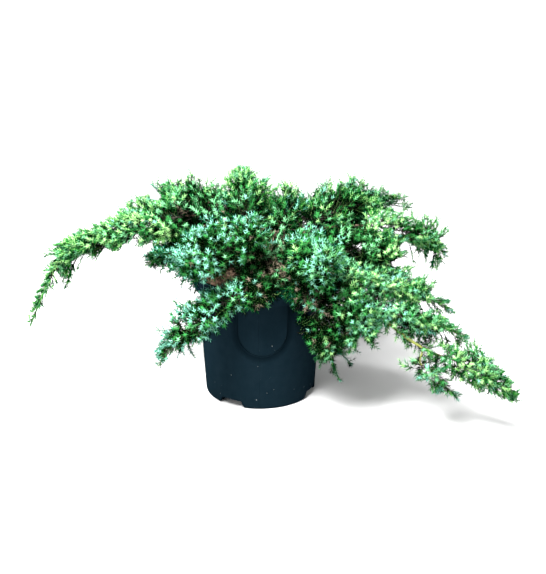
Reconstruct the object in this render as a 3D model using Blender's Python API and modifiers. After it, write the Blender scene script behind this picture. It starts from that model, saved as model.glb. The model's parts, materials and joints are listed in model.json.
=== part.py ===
"""A young flaky juniper that spreads and arches over the rim of its black nursery pot.

Metres, +Z up. The origin is the middle of the pot's flat underside, and the plant's
front faces -Y. Bearings are in degrees about the pot's axis: 0 is +X, -90 the front.
"""

import math
import random
from collections import namedtuple

import bmesh
import bpy
import numpy as np
from mathutils import Vector
from mathutils.bvhtree import BVHTree

# The pot
POT_HEIGHT = 0.2415
RIM_RADIUS = 0.125
RIM_BAND = 0.030            # height of the wide band round the top
RIM_TAPER = 0.0015          # how much narrower the band is at its lower edge
LIP_ROUND = 0.0015
STEP_HEIGHT = 0.002         # of the step under the band
BODY_BASE_RADIUS = 0.1048   # the tapered wall, carried down to the floor
BODY_SLOPE = 0.050          # growth of that radius for each metre up
CORNER_RADIUS = 0.004
WALL = 0.002
FLOOR = 0.0025
TURN_STEPS = 30
PANEL_COUNT = 4             # shallow U-shaped panels under the band
PANEL_BEARING = -87.0
PANEL_WIDTH = 0.092
PANEL_BOTTOM = 0.110
PANEL_DEPTH = 0.0009
PANEL_TOP_GAP = 0.004       # between a panel and the band
PANEL_BEND_STEPS = 8
DRAIN_BEARINGS = (-121.0, -22.0, 59.0, 158.0)
DRAIN_FOOT_WIDTH = 0.055
DRAIN_TOP_WIDTH = 0.041
DRAIN_HEIGHT = 0.014
DRAIN_REACH = 0.036         # how far each drain channel runs in under the pot
CUTTER_MARGIN = 0.02        # how far cutting shapes stand out of the pot
SHOULDER = 0.001            # how far the step stands out of the wall below it
PANEL_CUTTER_REACH = 0.008  # of a panel's cutting shape off the foot's radius

# The soil and the short stem
SOIL_TOP = 0.227
SOIL_EDGE = 0.223
SOIL_FLAT_RADIUS = 0.030
STEM_TOP = 0.286
STEM_FOOT_RADIUS = 0.016
STEM_RADIUS = 0.0105
STEM_TOP_RADIUS = 0.008
STEM_FLARE = 0.82           # radius halfway up the flare as a share of the foot's
STEM_FLARE_LEVELS = (0.006, 0.016)  # of that radius and of the flare's end
STEM_FORK = (0.006, 0.001)  # where the blunt fork starts below the top, and its swell
STEM_LEAN = (0.004, -0.003)  # how far the top stands off the pot's axis
STEM_SIDES = 10
STEM_ROUGHNESS = 0.06

GAP = 0.0003                # left between pieces that touch
FLAT_ENOUGH = math.radians(0.3)  # faces that meet flatter than this become one

# A spray: a slim three-sided core with whorls of three needles, larger than life
TWIG_RADIUS = 0.0016
SPRAY_RADIUS = 0.0085
NEEDLE_REACH = 0.0260       # a needle's tip off the spray's axis
NEEDLE_FORWARD = 0.017      # and ahead of its root
WHORL_PITCH = 0.0200
SPRAY_POINT = 0.018
SPRAY_FOOT = 0.8            # radius below the needles as a share of the spray's
SPRAY_TAPER = 0.35          # what the core loses in width up to its last whorl
NEEDLE_LOSS = 0.15          # what the needles lose in reach from whorl to whorl
SIDE_WHORLS = 2
END_WHORLS = 3
END_SHARE = 0.6             # the most of a mass's stem that its end spray takes up
END_GIRTH = 1.6             # the end spray's girth against the mass's at its tip
END_BEARING = 0.9           # the share of the stem whose direction it takes
FULL_GIRTH = 0.040          # a slimmer mass has smaller sprays
LEAST_SIZE = 0.46
BARE_FOOT = 0.004           # twig below the first needles
STEM_SWELL = 1.35           # a mass's stem against its twigs
STEM_TAPER = 0.3            # what it loses in width by its tip
STEM_SHARES = (0.25, 0.5, 0.75)  # where its rings stand
SWELL = 0.0007              # growth of the copy that is tested for clearance
CELL_MARGIN = 0.05          # how much nearer a mass a point is than to any other
SPRAY_EDGE = 1.15           # how far sprays may reach, the edge of the space being 1
SPRAY_LEAN = (62.0, 36.0)   # lean off the stem at its root and at its tip, in degrees
SPRAYS_ALONG = (0.06, 0.92)  # the part of the stem they stand on
LEAN_PLAY = 8.0
ROLL_PLAY = 0.35
SHRINK_TRIES = 4            # a spray that doesn't fit is tried smaller, then turned
TURN_TRIES = 6
SHRINK = 0.88
REACH_IN_GIRTH = 0.9        # the most of the girth that a leaning spray spans
GOLDEN_ANGLE = math.radians(137.5)
AXIS_SAMPLES = 15

# The solid middle of a dense mass
CORE_LENGTH = 0.39          # its half-length as a share of the mass's length
CORE_LUMPS = 0.12           # play in the height of its points
CORE_POINT = 1.42           # how far its twelve points stand out
CORE_HOLLOW = 0.86          # and how far it falls back between them
CORE_EDGE = 1.0             # its own reach within the space
CORE_SHRINKS = (1.0, 0.88, 0.76, 0.64, 0.52, 0.42)
CORE_STEP = 0.9             # a point outside the space is drawn in by this
CORE_LEAST = 0.004          # until it lies this near the middle
CORE_ROOT = 0.45            # where a twig starts inside it, as a share of its girth

# The boughs
BOUGH_RISE = 0.35           # slope at which a bough leaves the stem
RISE_TO_CLEAR_RIM = 2.5     # added slope for each metre that its end lies lower than
CLEAR_HEIGHT = 0.03         # this height over the rim
LEAD_TO_END = 1.6           # pull of a side bough's end on the way it sets out
HANDLE_SHARE = 0.36         # reach of the curve's handles
ELBOW_HANDLE_SHARE = 0.40
ELBOW_SWELL = (1.3, 1.2)    # its ends against a twig
LIMB_PIECE = 0.045          # length of a limb's straight pieces
LEAST_TIP_RADIUS = 0.0015
SEED = 41

# A branch is a bough and the mass of foliage that it carries. The bough leaves its
# parent at a share of the parent's length. Root and tip are the ends of the mass:
# bearing in degrees, reach from the axis and height in cm. Arch lifts the middle of
# the mass, and girth is its half-width at root, middle and tip, in cm. Core is the
# solid middle as a share of the girth, and sprays the number that stand out of it.
Branch = namedtuple("Branch", "name parent share thick root tip arch girth core sprays")

BRANCHES = (
    Branch("left_arm", "stem", 0.80, 3.6, (171.2, 14.1, 33.7), (-177.0, 36.6, 27.5),
           1.0, (6.8, 4.6, 2.7), 0.62, 9),
    Branch("left_tip", "left_arm_end", 1.0, 1.6, (-176.0, 37.6, 25.5), (-173.0, 42.9, 14.8),
           0.4, (2.4, 1.7, 0.9), 0.00, 7),
    Branch("left_top", "left_arm", 0.45, 2.4, (140, 8.6, 32.6), (151.6, 21.7, 34.8),
           0.6, (5.0, 5.2, 3.0), 0.82, 6),
    Branch("left_low", "back_left", 0.45, 2.0, (162.3, 10.5, 27.1), (157.2, 22.9, 22.9),
           0.6, (4.0, 4.3, 2.4), 0.74, 5),
    Branch("left_front", "stem", 0.60, 3.4, (-140, 6.6, 29.6), (-126.5, 20.7, 30.9),
           0.6, (5.0, 6.6, 4.6), 0.84, 5),
    Branch("peak", "stem_top", 1.0, 2.6, (140, 3.0, 32.4), (120.0, 6.7, 41.2),
           0.0, (5.0, 5.2, 2.4), 0.80, 6),
    Branch("front_centre", "front_low", 0.42, 2.2, (-112, 5.2, 29.6), (-96, 13.4, 35.0),
           0.3, (4.6, 5.6, 4.0), 0.80, 5),
    Branch("front_low", "stem", 0.28, 3.0, (-95, 7.8, 27.2), (-91.2, 16.8, 23.6),
           0.5, (3.2, 3.6, 2.4), 0.70, 3),
    Branch("inner_front", "front_right", 0.40, 1.8, (-76, 6.4, 27.4), (-66, 14.0, 27.0),
           0.2, (3.0, 3.4, 2.4), 0.74, 2),
    Branch("skirt_left", "left_front", 0.42, 2.2, (-102.3, 13.4, 24.4), (-131.6, 25.5, 14.5),
           1.3, (3.4, 4.7, 2.2), 0.62, 7),
    Branch("top_mid", "right_top_arm", 0.25, 2.2, (20, 4.6, 31.0), (54.4, 9.1, 34.7),
           0.2, (4.6, 5.4, 3.6), 0.80, 4),
    Branch("top_right", "right_top_arm", 0.50, 2.4, (26, 11.0, 31.6), (29.9, 25.3, 33.3),
           0.8, (4.6, 5.6, 3.5), 0.82, 6),
    Branch("right_top_arm", "stem", 0.92, 3.6, (14.0, 20.4, 30.9), (5.0, 34.0, 27.9),
           0.7, (4.2, 3.8, 2.2), 0.70, 7),
    Branch("front_right", "stem", 0.60, 3.4, (-50, 8.6, 28.4), (-57, 21.8, 30.6),
           0.6, (5.0, 6.2, 4.2), 0.84, 5),
    Branch("right_mid", "right_upper", 0.40, 2.4, (-4, 12.0, 28.6), (-17, 26.6, 29.0),
           0.6, (5.2, 6.2, 4.2), 0.82, 5),
    Branch("right_upper", "stem", 0.42, 3.4, (-22, 16.0, 25.4), (-21.8, 36.8, 21.4),
           0.9, (4.8, 4.0, 1.4), 0.72, 7),
    Branch("right_middle", "right_arm", 0.56, 2.2, (-25, 21.6, 19.8), (-26.8, 40.3, 17.9),
           0.9, (4.0, 3.4, 1.3), 0.70, 7),
    Branch("right_arm", "stem", 0.80, 4.2, (-27.5, 36.8, 13.6), (-26.0, 49.4, 8.6),
           0.7, (3.0, 4.1, 1.8), 0.50, 8),
    Branch("right_hang", "right_arm", 0.90, 1.8, (-32.1, 33.9, 12.5), (-31.0, 39.0, 8.4),
           0.4, (2.8, 3.2, 1.8), 0.00, 5),
    Branch("skirt_right", "right_arm", 0.34, 2.2, (-41.2, 15.1, 24.8), (-41, 25.6, 17.4),
           0.6, (5.0, 6.2, 3.8), 0.80, 6),
    Branch("skirt_mid", "front_right", 0.55, 2.2, (-52, 15.8, 21.6), (-50, 20.2, 11.8),
           0.5, (4.0, 5.0, 3.0), 0.74, 6),
    Branch("back_left", "stem", 0.72, 3.4, (113, 10.0, 29.6), (128, 29.6, 24.8),
           1.2, (5.4, 7.8, 6.0), 0.80, 5),
    Branch("back_mid", "stem", 0.58, 3.2, (88, 10.0, 29.4), (89, 27.6, 24.4),
           1.0, (5.4, 7.8, 6.0), 0.80, 5),
    Branch("back_right", "stem", 0.76, 3.2, (58, 11.6, 30.0), (51, 30.2, 25.4),
           1.2, (5.2, 7.6, 5.8), 0.80, 5),
    Branch("back_skirt_left", "back_mid", 0.45, 2.2, (114, 14.6, 23.4), (116, 24.4, 15.4),
           0.8, (4.0, 5.6, 4.2), 0.72, 4),
    Branch("back_skirt_mid", "back_mid", 0.62, 2.2, (82, 15.6, 23.0), (78, 24.2, 14.2),
           0.8, (4.0, 5.6, 4.2), 0.72, 4),
    Branch("back_skirt_right", "back_right", 0.42, 2.2, (48, 16.0, 23.6), (38, 26.4, 16.4),
           0.8, (4.0, 5.4, 4.0), 0.72, 4),
)


def clear_scene():
    for obj in list(bpy.data.objects):
        bpy.data.objects.remove(obj, do_unlink=True)


def new_collection(name):
    collection = bpy.data.collections.new(name)
    bpy.context.scene.collection.children.link(collection)
    return collection


def make_material(name, colour, roughness):
    material = bpy.data.materials.new(name)
    material.use_nodes = True
    shader = material.node_tree.nodes["Principled BSDF"]
    shader.inputs["Base Color"].default_value = (*colour, 1.0)
    shader.inputs["Roughness"].default_value = roughness
    shader.inputs["Metallic"].default_value = 0.0
    return material


def add_object(name, mesh, collection):
    obj = bpy.data.objects.new(name, mesh)
    collection.objects.link(obj)
    return obj


def as_cutter(obj):
    obj.hide_render = True
    obj.display_type = "WIRE"
    return obj


def polar(bearing, reach, height):
    angle = math.radians(bearing)
    return Vector((reach * math.cos(angle), reach * math.sin(angle), height))


def from_cm(place):
    bearing, reach, height = place
    return polar(bearing, reach / 100, height / 100)


def cross_axes(direction):
    """Two unit vectors across a direction."""
    helper = Vector((0, 0, 1)) if abs(direction.z) < 0.9 else Vector((1, 0, 0))
    side = direction.cross(helper).normalized()
    return side, side.cross(direction).normalized()


def turned(name, profile, collection):
    """A solid of revolution from a profile of (radius, height), top to bottom."""
    mesh = bpy.data.meshes.new(name)
    points = [(radius, 0.0, height) for radius, height in profile]
    edges = [(i, i + 1) for i in range(len(points) - 1)]
    mesh.from_pydata(points, edges, [])
    obj = add_object(name, mesh, collection)
    screw = obj.modifiers.new("turn", "SCREW")
    screw.axis = "Z"
    screw.angle = math.tau
    screw.steps = TURN_STEPS
    screw.render_steps = TURN_STEPS
    screw.use_merge_vertices = True
    screw.merge_threshold = 0.00001
    return obj


def boolean(obj, other, operation="DIFFERENCE"):
    modifier = obj.modifiers.new(operation.lower(), "BOOLEAN")
    modifier.operation = operation
    modifier.solver = "EXACT"
    modifier.object = other


def applied_mesh(obj):
    """The object's mesh with its modifiers applied, in place of the old one."""
    graph = bpy.context.evaluated_depsgraph_get()
    graph.update()
    mesh = bpy.data.meshes.new_from_object(obj.evaluated_get(graph))
    obj.modifiers.clear()
    obj.data = mesh
    return mesh


def keep_main_body(obj):
    """Drop loose scraps and fill sealed hollows: only the largest shell stays."""
    work = bmesh.new()
    work.from_mesh(obj.data)
    bmesh.ops.dissolve_limit(work, angle_limit=FLAT_ENOUGH, verts=work.verts, edges=work.edges)
    bmesh.ops.triangulate(work, faces=work.faces)
    bmesh.ops.dissolve_degenerate(work, dist=0.00001, edges=work.edges)
    unseen = set(work.faces)
    shells = []
    while unseen:
        front = [unseen.pop()]
        shell = list(front)
        while front:
            for edge in front.pop().edges:
                for face in edge.link_faces:
                    if face in unseen:
                        unseen.remove(face)
                        shell.append(face)
                        front.append(face)
        shells.append(shell)
    main = max(shells, key=lambda shell: sum(face.calc_area() for face in shell))
    scraps = [face for shell in shells if shell is not main for face in shell]
    bmesh.ops.delete(work, geom=scraps, context="FACES")
    work.to_mesh(obj.data)
    work.free()


def shade_round(obj, angle=35.0):
    obj.data.shade_smooth()
    obj.data.set_sharp_from_angle(angle=math.radians(angle))


def wall_radius(height):
    return BODY_BASE_RADIUS + BODY_SLOPE * height


def pot_profile(inset, floor):
    """Half-section of the pot's outside, or of a skin inside it by inset."""
    step_top = POT_HEIGHT - RIM_BAND + inset
    step_foot = step_top - STEP_HEIGHT
    top = POT_HEIGHT if inset == 0 else POT_HEIGHT + CUTTER_MARGIN
    rim = RIM_RADIUS - inset
    points = [(0.0, top)]
    if inset == 0:
        points += [(rim - LIP_ROUND, top), (rim, top - LIP_ROUND)]
    else:
        points += [(rim, top)]
    points += [(rim - RIM_TAPER, step_top), (wall_radius(step_foot) - inset + SHOULDER, step_foot)]
    corner = CORNER_RADIUS - inset
    centre_height = floor + corner
    centre_radius = wall_radius(centre_height) - inset - corner
    for step in range(4):
        angle = math.radians(30 * step)
        points.append((centre_radius + corner * math.cos(angle),
                       centre_height - corner * math.sin(angle)))
    points.append((0.0, floor))
    return points


def drain_block(name, bearing, grow, collection):
    """A wedge with sloping sides that runs in under the pot's edge."""
    work = bmesh.new()
    bmesh.ops.create_cube(work, size=1.0)
    inner = BODY_BASE_RADIUS - DRAIN_REACH - grow
    outer = BODY_BASE_RADIUS + CUTTER_MARGIN
    low = -CUTTER_MARGIN
    top = DRAIN_HEIGHT + grow
    flare = (DRAIN_FOOT_WIDTH - DRAIN_TOP_WIDTH) / 2 / DRAIN_HEIGHT
    for vert in work.verts:
        vert.co.x = outer if vert.co.x > 0 else inner
        vert.co.z = top if vert.co.z > 0 else low
        half = DRAIN_TOP_WIDTH / 2 + grow + flare * (top - vert.co.z)
        vert.co.y = half if vert.co.y > 0 else -half
    mesh = bpy.data.meshes.new(name)
    work.to_mesh(mesh)
    work.free()
    obj = as_cutter(add_object(name, mesh, collection))
    obj.rotation_euler.z = math.radians(bearing)
    return obj


def panel_block(name, bearing, collection):
    """The U outline of a panel, run outward through the wall."""
    curve = bpy.data.curves.new(name, "CURVE")
    curve.dimensions = "2D"
    curve.fill_mode = "BOTH"
    curve.extrude = CUTTER_MARGIN
    half = PANEL_WIDTH / 2
    top = POT_HEIGHT - RIM_BAND - PANEL_TOP_GAP
    bend = PANEL_BOTTOM + half
    outline = [(-half, top)]
    for step in range(PANEL_BEND_STEPS + 1):
        angle = math.pi + math.pi * step / PANEL_BEND_STEPS
        outline.append((half * math.cos(angle), bend + half * math.sin(angle)))
    outline.append((half, top))
    spline = curve.splines.new("POLY")
    spline.points.add(len(outline) - 1)
    for point, (across, height) in zip(spline.points, outline):
        point.co = (across, height, 0.0, 1.0)
    spline.use_cyclic_u = True
    flat = add_object(name + "_outline", curve, collection)
    angle = math.radians(bearing)
    flat.rotation_euler = (math.pi / 2, 0.0, angle + math.pi / 2)
    flat.location = polar(bearing, BODY_BASE_RADIUS + PANEL_CUTTER_REACH, 0.0)
    return as_cutter(mesh_from_curve(flat, name, collection))


def mesh_from_curve(curve_object, name, collection):
    """A closed mesh object in place of a curve object."""
    graph = bpy.context.evaluated_depsgraph_get()
    graph.update()
    mesh = bpy.data.meshes.new_from_object(curve_object.evaluated_get(graph))
    work = bmesh.new()
    work.from_mesh(mesh)
    bmesh.ops.remove_doubles(work, verts=work.verts, dist=0.00001)
    bmesh.ops.recalc_face_normals(work, faces=work.faces)
    work.to_mesh(mesh)
    work.free()
    obj = add_object(name, mesh, collection)
    obj.matrix_world = curve_object.matrix_world.copy()
    bpy.data.objects.remove(curve_object, do_unlink=True)
    return obj


def make_pot(parts, cutters, material):
    pot = turned("pot", pot_profile(0.0, 0.0), parts)
    pot.data.materials.append(material)
    hollow = as_cutter(turned("pot_hollow", pot_profile(WALL, FLOOR), cutters))
    for index, bearing in enumerate(DRAIN_BEARINGS):
        boolean(hollow, drain_block(f"drain_wall_{index}", bearing, WALL, cutters))
    boolean(pot, hollow)
    for index, bearing in enumerate(DRAIN_BEARINGS):
        boolean(pot, drain_block(f"drain_{index}", bearing, 0.0, cutters))
    skin = [(0.0, POT_HEIGHT)]
    skin += [(wall_radius(height) - PANEL_DEPTH, height) for height in (POT_HEIGHT, -CUTTER_MARGIN)]
    skin += [(0.0, -CUTTER_MARGIN)]
    inside = as_cutter(turned("panel_floor", skin, cutters))
    for index in range(PANEL_COUNT):
        bearing = PANEL_BEARING + 360.0 * index / PANEL_COUNT
        panel = panel_block(f"panel_{index}", bearing, cutters)
        boolean(panel, inside)
        boolean(pot, panel)
    applied_mesh(pot)
    keep_main_body(pot)
    shade_round(pot)
    return pot


def make_soil(parts, cutters, material):
    inset = WALL + GAP
    ledge = POT_HEIGHT - RIM_BAND + inset
    rim = RIM_RADIUS - RIM_TAPER - inset
    foot = FLOOR + GAP
    shoulder = wall_radius(ledge - STEP_HEIGHT) - inset
    profile = [(0.0, SOIL_TOP), (SOIL_FLAT_RADIUS, SOIL_TOP), (rim, SOIL_EDGE), (rim, ledge),
               (shoulder, ledge - STEP_HEIGHT),
               (wall_radius(CORNER_RADIUS) - inset, foot + CORNER_RADIUS),
               (wall_radius(0.0) - inset - CORNER_RADIUS, foot), (0.0, foot)]
    soil = turned("soil", profile, parts)
    soil.data.materials.append(material)
    for index, bearing in enumerate(DRAIN_BEARINGS):
        boolean(soil, drain_block(f"soil_drain_{index}", bearing, WALL + GAP, cutters))
    applied_mesh(soil)
    keep_main_body(soil)
    shade_round(soil)
    return soil


class Limb:
    """A tapering round limb along a cubic curve, from handle to handle."""

    def __init__(self, name, ends, handles, radii):
        self.name = name
        self.start, self.end = ends
        self.first, self.second = handles
        self.radii = radii
        self.pieces = max(3, round((self.end - self.start).length / LIMB_PIECE))

    def seat(self, share):
        """A point on the middle line of the limb as built, in straight pieces."""
        piece = min(int(share * self.pieces), self.pieces - 1)
        low = self.point(piece / self.pieces)
        high = self.point((piece + 1) / self.pieces)
        return low.lerp(high, share * self.pieces - piece)

    def point(self, t):
        u = 1 - t
        return (self.start * u ** 3 + self.first * 3 * u * u * t
                + self.second * 3 * u * t * t + self.end * t ** 3)

    def direction(self, t):
        u = 1 - t
        slope = ((self.first - self.start) * u * u + (self.second - self.first) * 2 * u * t
                 + (self.end - self.second) * t * t)
        return slope.normalized()

    def build(self, name, collection, grow=0.0):
        curve = bpy.data.curves.new(name, "CURVE")
        curve.dimensions = "3D"
        curve.bevel_depth = 1.0
        curve.bevel_resolution = 1
        curve.resolution_u = self.pieces
        curve.use_fill_caps = True
        spline = curve.splines.new("BEZIER")
        spline.bezier_points.add(1)
        root, tip = spline.bezier_points
        for bezier, place, near, far, radius in (
                (root, self.start, self.start * 2 - self.first, self.first, self.radii[0]),
                (tip, self.end, self.second, self.end * 2 - self.second, self.radii[1])):
            bezier.handle_left_type = bezier.handle_right_type = "FREE"
            bezier.co = place
            bezier.handle_left = near
            bezier.handle_right = far
            bezier.radius = radius + grow
        route = add_object(name + "_route", curve, collection)
        return mesh_from_curve(route, name, collection)


def make_stem(parts, cutters, material):
    """The short trunk: a flared foot on the soil, a slight lean and a blunt fork."""
    foot = SOIL_TOP + GAP
    half_flare, flare_end = STEM_FLARE_LEVELS
    fork_depth, fork_swell = STEM_FORK
    levels = ((foot, STEM_FOOT_RADIUS),
              (foot + half_flare, STEM_FOOT_RADIUS * STEM_FLARE),
              (foot + flare_end, STEM_RADIUS),
              (STEM_TOP - fork_depth, STEM_TOP_RADIUS + fork_swell),
              (STEM_TOP, STEM_TOP_RADIUS))

    def solid(name, grow, collection):
        work = bmesh.new()
        rings = []
        for number, (height, radius) in enumerate(levels):
            share = (height - foot) / (STEM_TOP - foot)
            if number == 0:
                height -= grow
            if number == len(levels) - 1:
                height += grow
            ring = []
            for step in range(STEM_SIDES):
                angle = math.tau * step / STEM_SIDES
                rough = 1 + STEM_ROUGHNESS * math.sin(3 * angle + 9 * share)
                ring.append(work.verts.new((
                    STEM_LEAN[0] * share + (radius * rough + grow) * math.cos(angle),
                    STEM_LEAN[1] * share + (radius * rough + grow) * math.sin(angle), height)))
            rings.append(ring)
        for low, high in zip(rings, rings[1:]):
            for step in range(STEM_SIDES):
                after = (step + 1) % STEM_SIDES
                work.faces.new((low[step], low[after], high[after], high[step]))
        work.faces.new(list(reversed(rings[0])))
        work.faces.new(rings[-1])
        mesh = bpy.data.meshes.new(name)
        work.to_mesh(mesh)
        work.free()
        return add_object(name, mesh, collection)

    stem = solid("stem", 0.0, parts)
    stem.data.materials.append(material)
    shade_round(stem, 50.0)
    return stem, as_cutter(solid("stem_clearance", GAP, cutters))


class Mass:
    """The space of one mass of foliage: a tapering, arched spindle round its stem."""

    def __init__(self, branch):
        self.branch = branch
        self.name = branch.name
        self.root = from_cm(branch.root)
        self.tip = from_cm(branch.tip)
        self.arch = branch.arch / 100
        self.length = (self.tip - self.root).length
        shares = np.linspace(0.0, 1.0, AXIS_SAMPLES)
        self.samples = np.array([self.point(share) for share in shares])
        self.girths = np.array([self.girth(share) for share in shares])

    def point(self, t):
        return self.root.lerp(self.tip, t) + Vector((0, 0, 4 * self.arch * t * (1 - t)))

    def direction(self, t):
        slope = self.tip - self.root + Vector((0, 0, 4 * self.arch * (1 - 2 * t)))
        return slope.normalized()

    def girth(self, t):
        return float(np.interp(t, (0.0, 0.5, 1.0), self.branch.girth)) / 100


def nearness(masses, points):
    """How far each point lies from each mass's stem, 1 being the edge of its space."""
    places = np.asarray(points)[:, None, None, :]
    samples = np.array([mass.samples for mass in masses])[None]
    girths = np.array([mass.girths for mass in masses])[None]
    return (np.linalg.norm(places - samples, axis=3) / girths).min(axis=2)


def in_own_space(masses, index, points, edge=1.0):
    near = nearness(masses, points)
    own = near[:, index]
    others = np.delete(near, index, axis=1).min(axis=1)
    return bool((own < edge).all() and (own + CELL_MARGIN < others).all())


def loft(rings):
    """Vertices and triangles of a bare twig through three-sided rings, closed at its root."""
    points = [point for ring in rings for point in ring]
    faces = [(0, 2, 1)]
    for low in range(0, len(points) - 3, 3):
        for side in range(3):
            a, b = low + side, low + (side + 1) % 3
            faces += [(a, b, b + 3), (a, b + 3, a + 3)]
    return points, faces


def ring_of_three(centre, side, across, radius, turn):
    return [centre + (side * math.cos(turn + math.tau * k / 3)
                      + across * math.sin(turn + math.tau * k / 3)) * radius for k in range(3)]


def spray(stations, whorls, turn, size=1.0, swell=0.0):
    """A twig along stations of (place, direction, radius), then whorls of needles.

    Each whorl turns a sixth past the last. Between two rings lie six triangles, and
    the three that stand on the lower ring are each raised to a needle.
    """
    pitch = WHORL_PITCH * size
    rings = []
    for place, direction, radius in stations:
        side, across = cross_axes(direction)
        rings.append(ring_of_three(place, side, across, radius + swell, turn))
    place, direction, radius = stations[-1]
    side, across = cross_axes(direction)
    points, faces = loft(rings)
    last = len(points) - 3
    for number in range(whorls):
        turn += math.pi / 3
        place = place + direction * pitch
        slim = SPRAY_RADIUS * size * (1 - SPRAY_TAPER * (number + 1) / whorls) + swell
        upper = len(points)
        points += ring_of_three(place, side, across, slim, turn)
        reach = NEEDLE_REACH * size * (1 - NEEDLE_LOSS * number) + swell
        for k in range(3):
            a, b, c = last + k, last + (k + 1) % 3, upper + k
            foot = (points[a] + points[b]) / 2 - place
            outward = (foot - direction * foot.dot(direction)).normalized()
            needle = place - direction * (pitch - NEEDLE_FORWARD * size) + outward * reach
            points.append(needle)
            apex = len(points) - 1
            faces += [(a, b, apex), (b, c, apex), (c, a, apex)]
            faces.append((c, b, upper + (k + 1) % 3))
        last = upper
    points.append(place + direction * (SPRAY_POINT * size + swell))
    apex = len(points) - 1
    faces += [(last + k, last + (k + 1) % 3, apex) for k in range(3)]
    return points, faces


def leafy_length(whorls, size):
    return (whorls * WHORL_PITCH + SPRAY_POINT) * size


def twig_spray(root, direction, length, turn, size, swell=0.0):
    """A side twig that starts inside the stem and ends in a spray."""
    bare = length - leafy_length(SIDE_WHORLS, size)
    stations = ((root, direction, TWIG_RADIUS),
                (root + direction * bare, direction, SPRAY_RADIUS * size * SPRAY_FOOT))
    return spray(stations, SIDE_WHORLS, turn, size, swell)


def tree_of(points, faces):
    return BVHTree.FromPolygons([tuple(point) for point in points], faces)


def tree_of_object(obj):
    mesh = obj.data
    matrix = obj.matrix_world
    points = [tuple(matrix @ vert.co) for vert in mesh.vertices]
    return BVHTree.FromPolygons(points, [tuple(poly.vertices) for poly in mesh.polygons])


def is_clear(points, faces, trees):
    own = tree_of(points, faces)
    return not any(own.overlap(tree) for tree in trees)


def spray_size(girth):
    return min(1.0, max(LEAST_SIZE, girth / FULL_GIRTH))


def core_shape(mass, masses, index, trees, rng):
    """A lumpy, closed middle inside the mass's space, clear of limbs and of others."""
    centre = mass.point(0.5)
    axis = mass.direction(0.5)
    side, across = cross_axes(axis)
    widest = mass.branch.core * mass.girth(0.5)
    half_length = CORE_LENGTH * mass.length
    work = bmesh.new()
    bmesh.ops.create_icosphere(work, subdivisions=2, radius=1.0)
    units = [vert.co.copy() for vert in work.verts]
    faces = [tuple(vert.index for vert in face.verts) for face in work.faces]
    heights = [CORE_POINT if len(vert.link_edges) == 5 else CORE_HOLLOW for vert in work.verts]
    work.free()
    lumps = [height * (1 + rng.uniform(-CORE_LUMPS, CORE_LUMPS)) for height in heights]
    for shrink in CORE_SHRINKS:
        radius = widest * shrink
        points = []
        for unit, lump in zip(units, lumps):
            spoke = (axis * unit.x * half_length + side * unit.y * radius
                     + across * unit.z * radius) * lump
            while not in_own_space(masses, index, [centre + spoke], CORE_EDGE):
                spoke = spoke * CORE_STEP
                if spoke.length < CORE_LEAST:
                    break
            points.append(centre + spoke)
        if is_clear(points, faces, trees):
            return points, faces
    return None


def mesh_object(name, shape, collection):
    points, faces = shape
    mesh = bpy.data.meshes.new(name)
    mesh.from_pydata([tuple(point) for point in points], [], faces)
    return add_object(name, mesh, collection)


def grow_mass(mass, masses, index, trees, rng, bare_end):
    """The shapes of one mass: its stem and end spray, its core and its side sprays."""
    start = mass.point(0.0) + mass.direction(0.0) * GAP
    stem_radius = TWIG_RADIUS * STEM_SWELL
    stations = [(start, mass.direction(0.0), stem_radius)]
    stations += [(mass.point(t), mass.direction(t), stem_radius * (1 - STEM_TAPER * t))
                 for t in STEM_SHARES]
    if bare_end:
        stations.append((mass.tip, mass.direction(1.0), TWIG_RADIUS))
        rings = []
        for place, direction, radius in stations:
            side, across = cross_axes(direction)
            rings.append(ring_of_three(place, side, across, radius, 0.0))
        points, faces = loft(rings)
        last = len(points) - 3
        faces.append((last, last + 1, last + 2))
        shapes = [(points, faces)]
    else:
        size = min(spray_size(mass.girth(1.0) * END_GIRTH),
                   END_SHARE * mass.length / leafy_length(END_WHORLS, 1.0))
        leafy = leafy_length(END_WHORLS, size)
        direction = mass.direction(END_BEARING)
        if mass.length * (1 - STEM_SHARES[-1]) < leafy:
            stations.pop()
        place = mass.tip - direction * leafy
        stations.append((place, direction, SPRAY_RADIUS * SPRAY_FOOT))
        shapes = [spray(stations, END_WHORLS, 0.0, size)]
    if mass.branch.core:
        core = core_shape(mass, masses, index, trees, rng)
        if core:
            shapes.append(core)
    sunk = CORE_ROOT * mass.branch.core * mass.girth(0.5) if len(shapes) > 1 else 0.0
    for number in range(mass.branch.sprays):
        t = np.interp((number + 0.5) / mass.branch.sprays, (0.0, 1.0), SPRAYS_ALONG)
        shape = side_spray(mass, masses, index, trees, rng, t, number * GOLDEN_ANGLE, sunk)
        if shape:
            shapes.append(shape)
    return shapes


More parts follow.
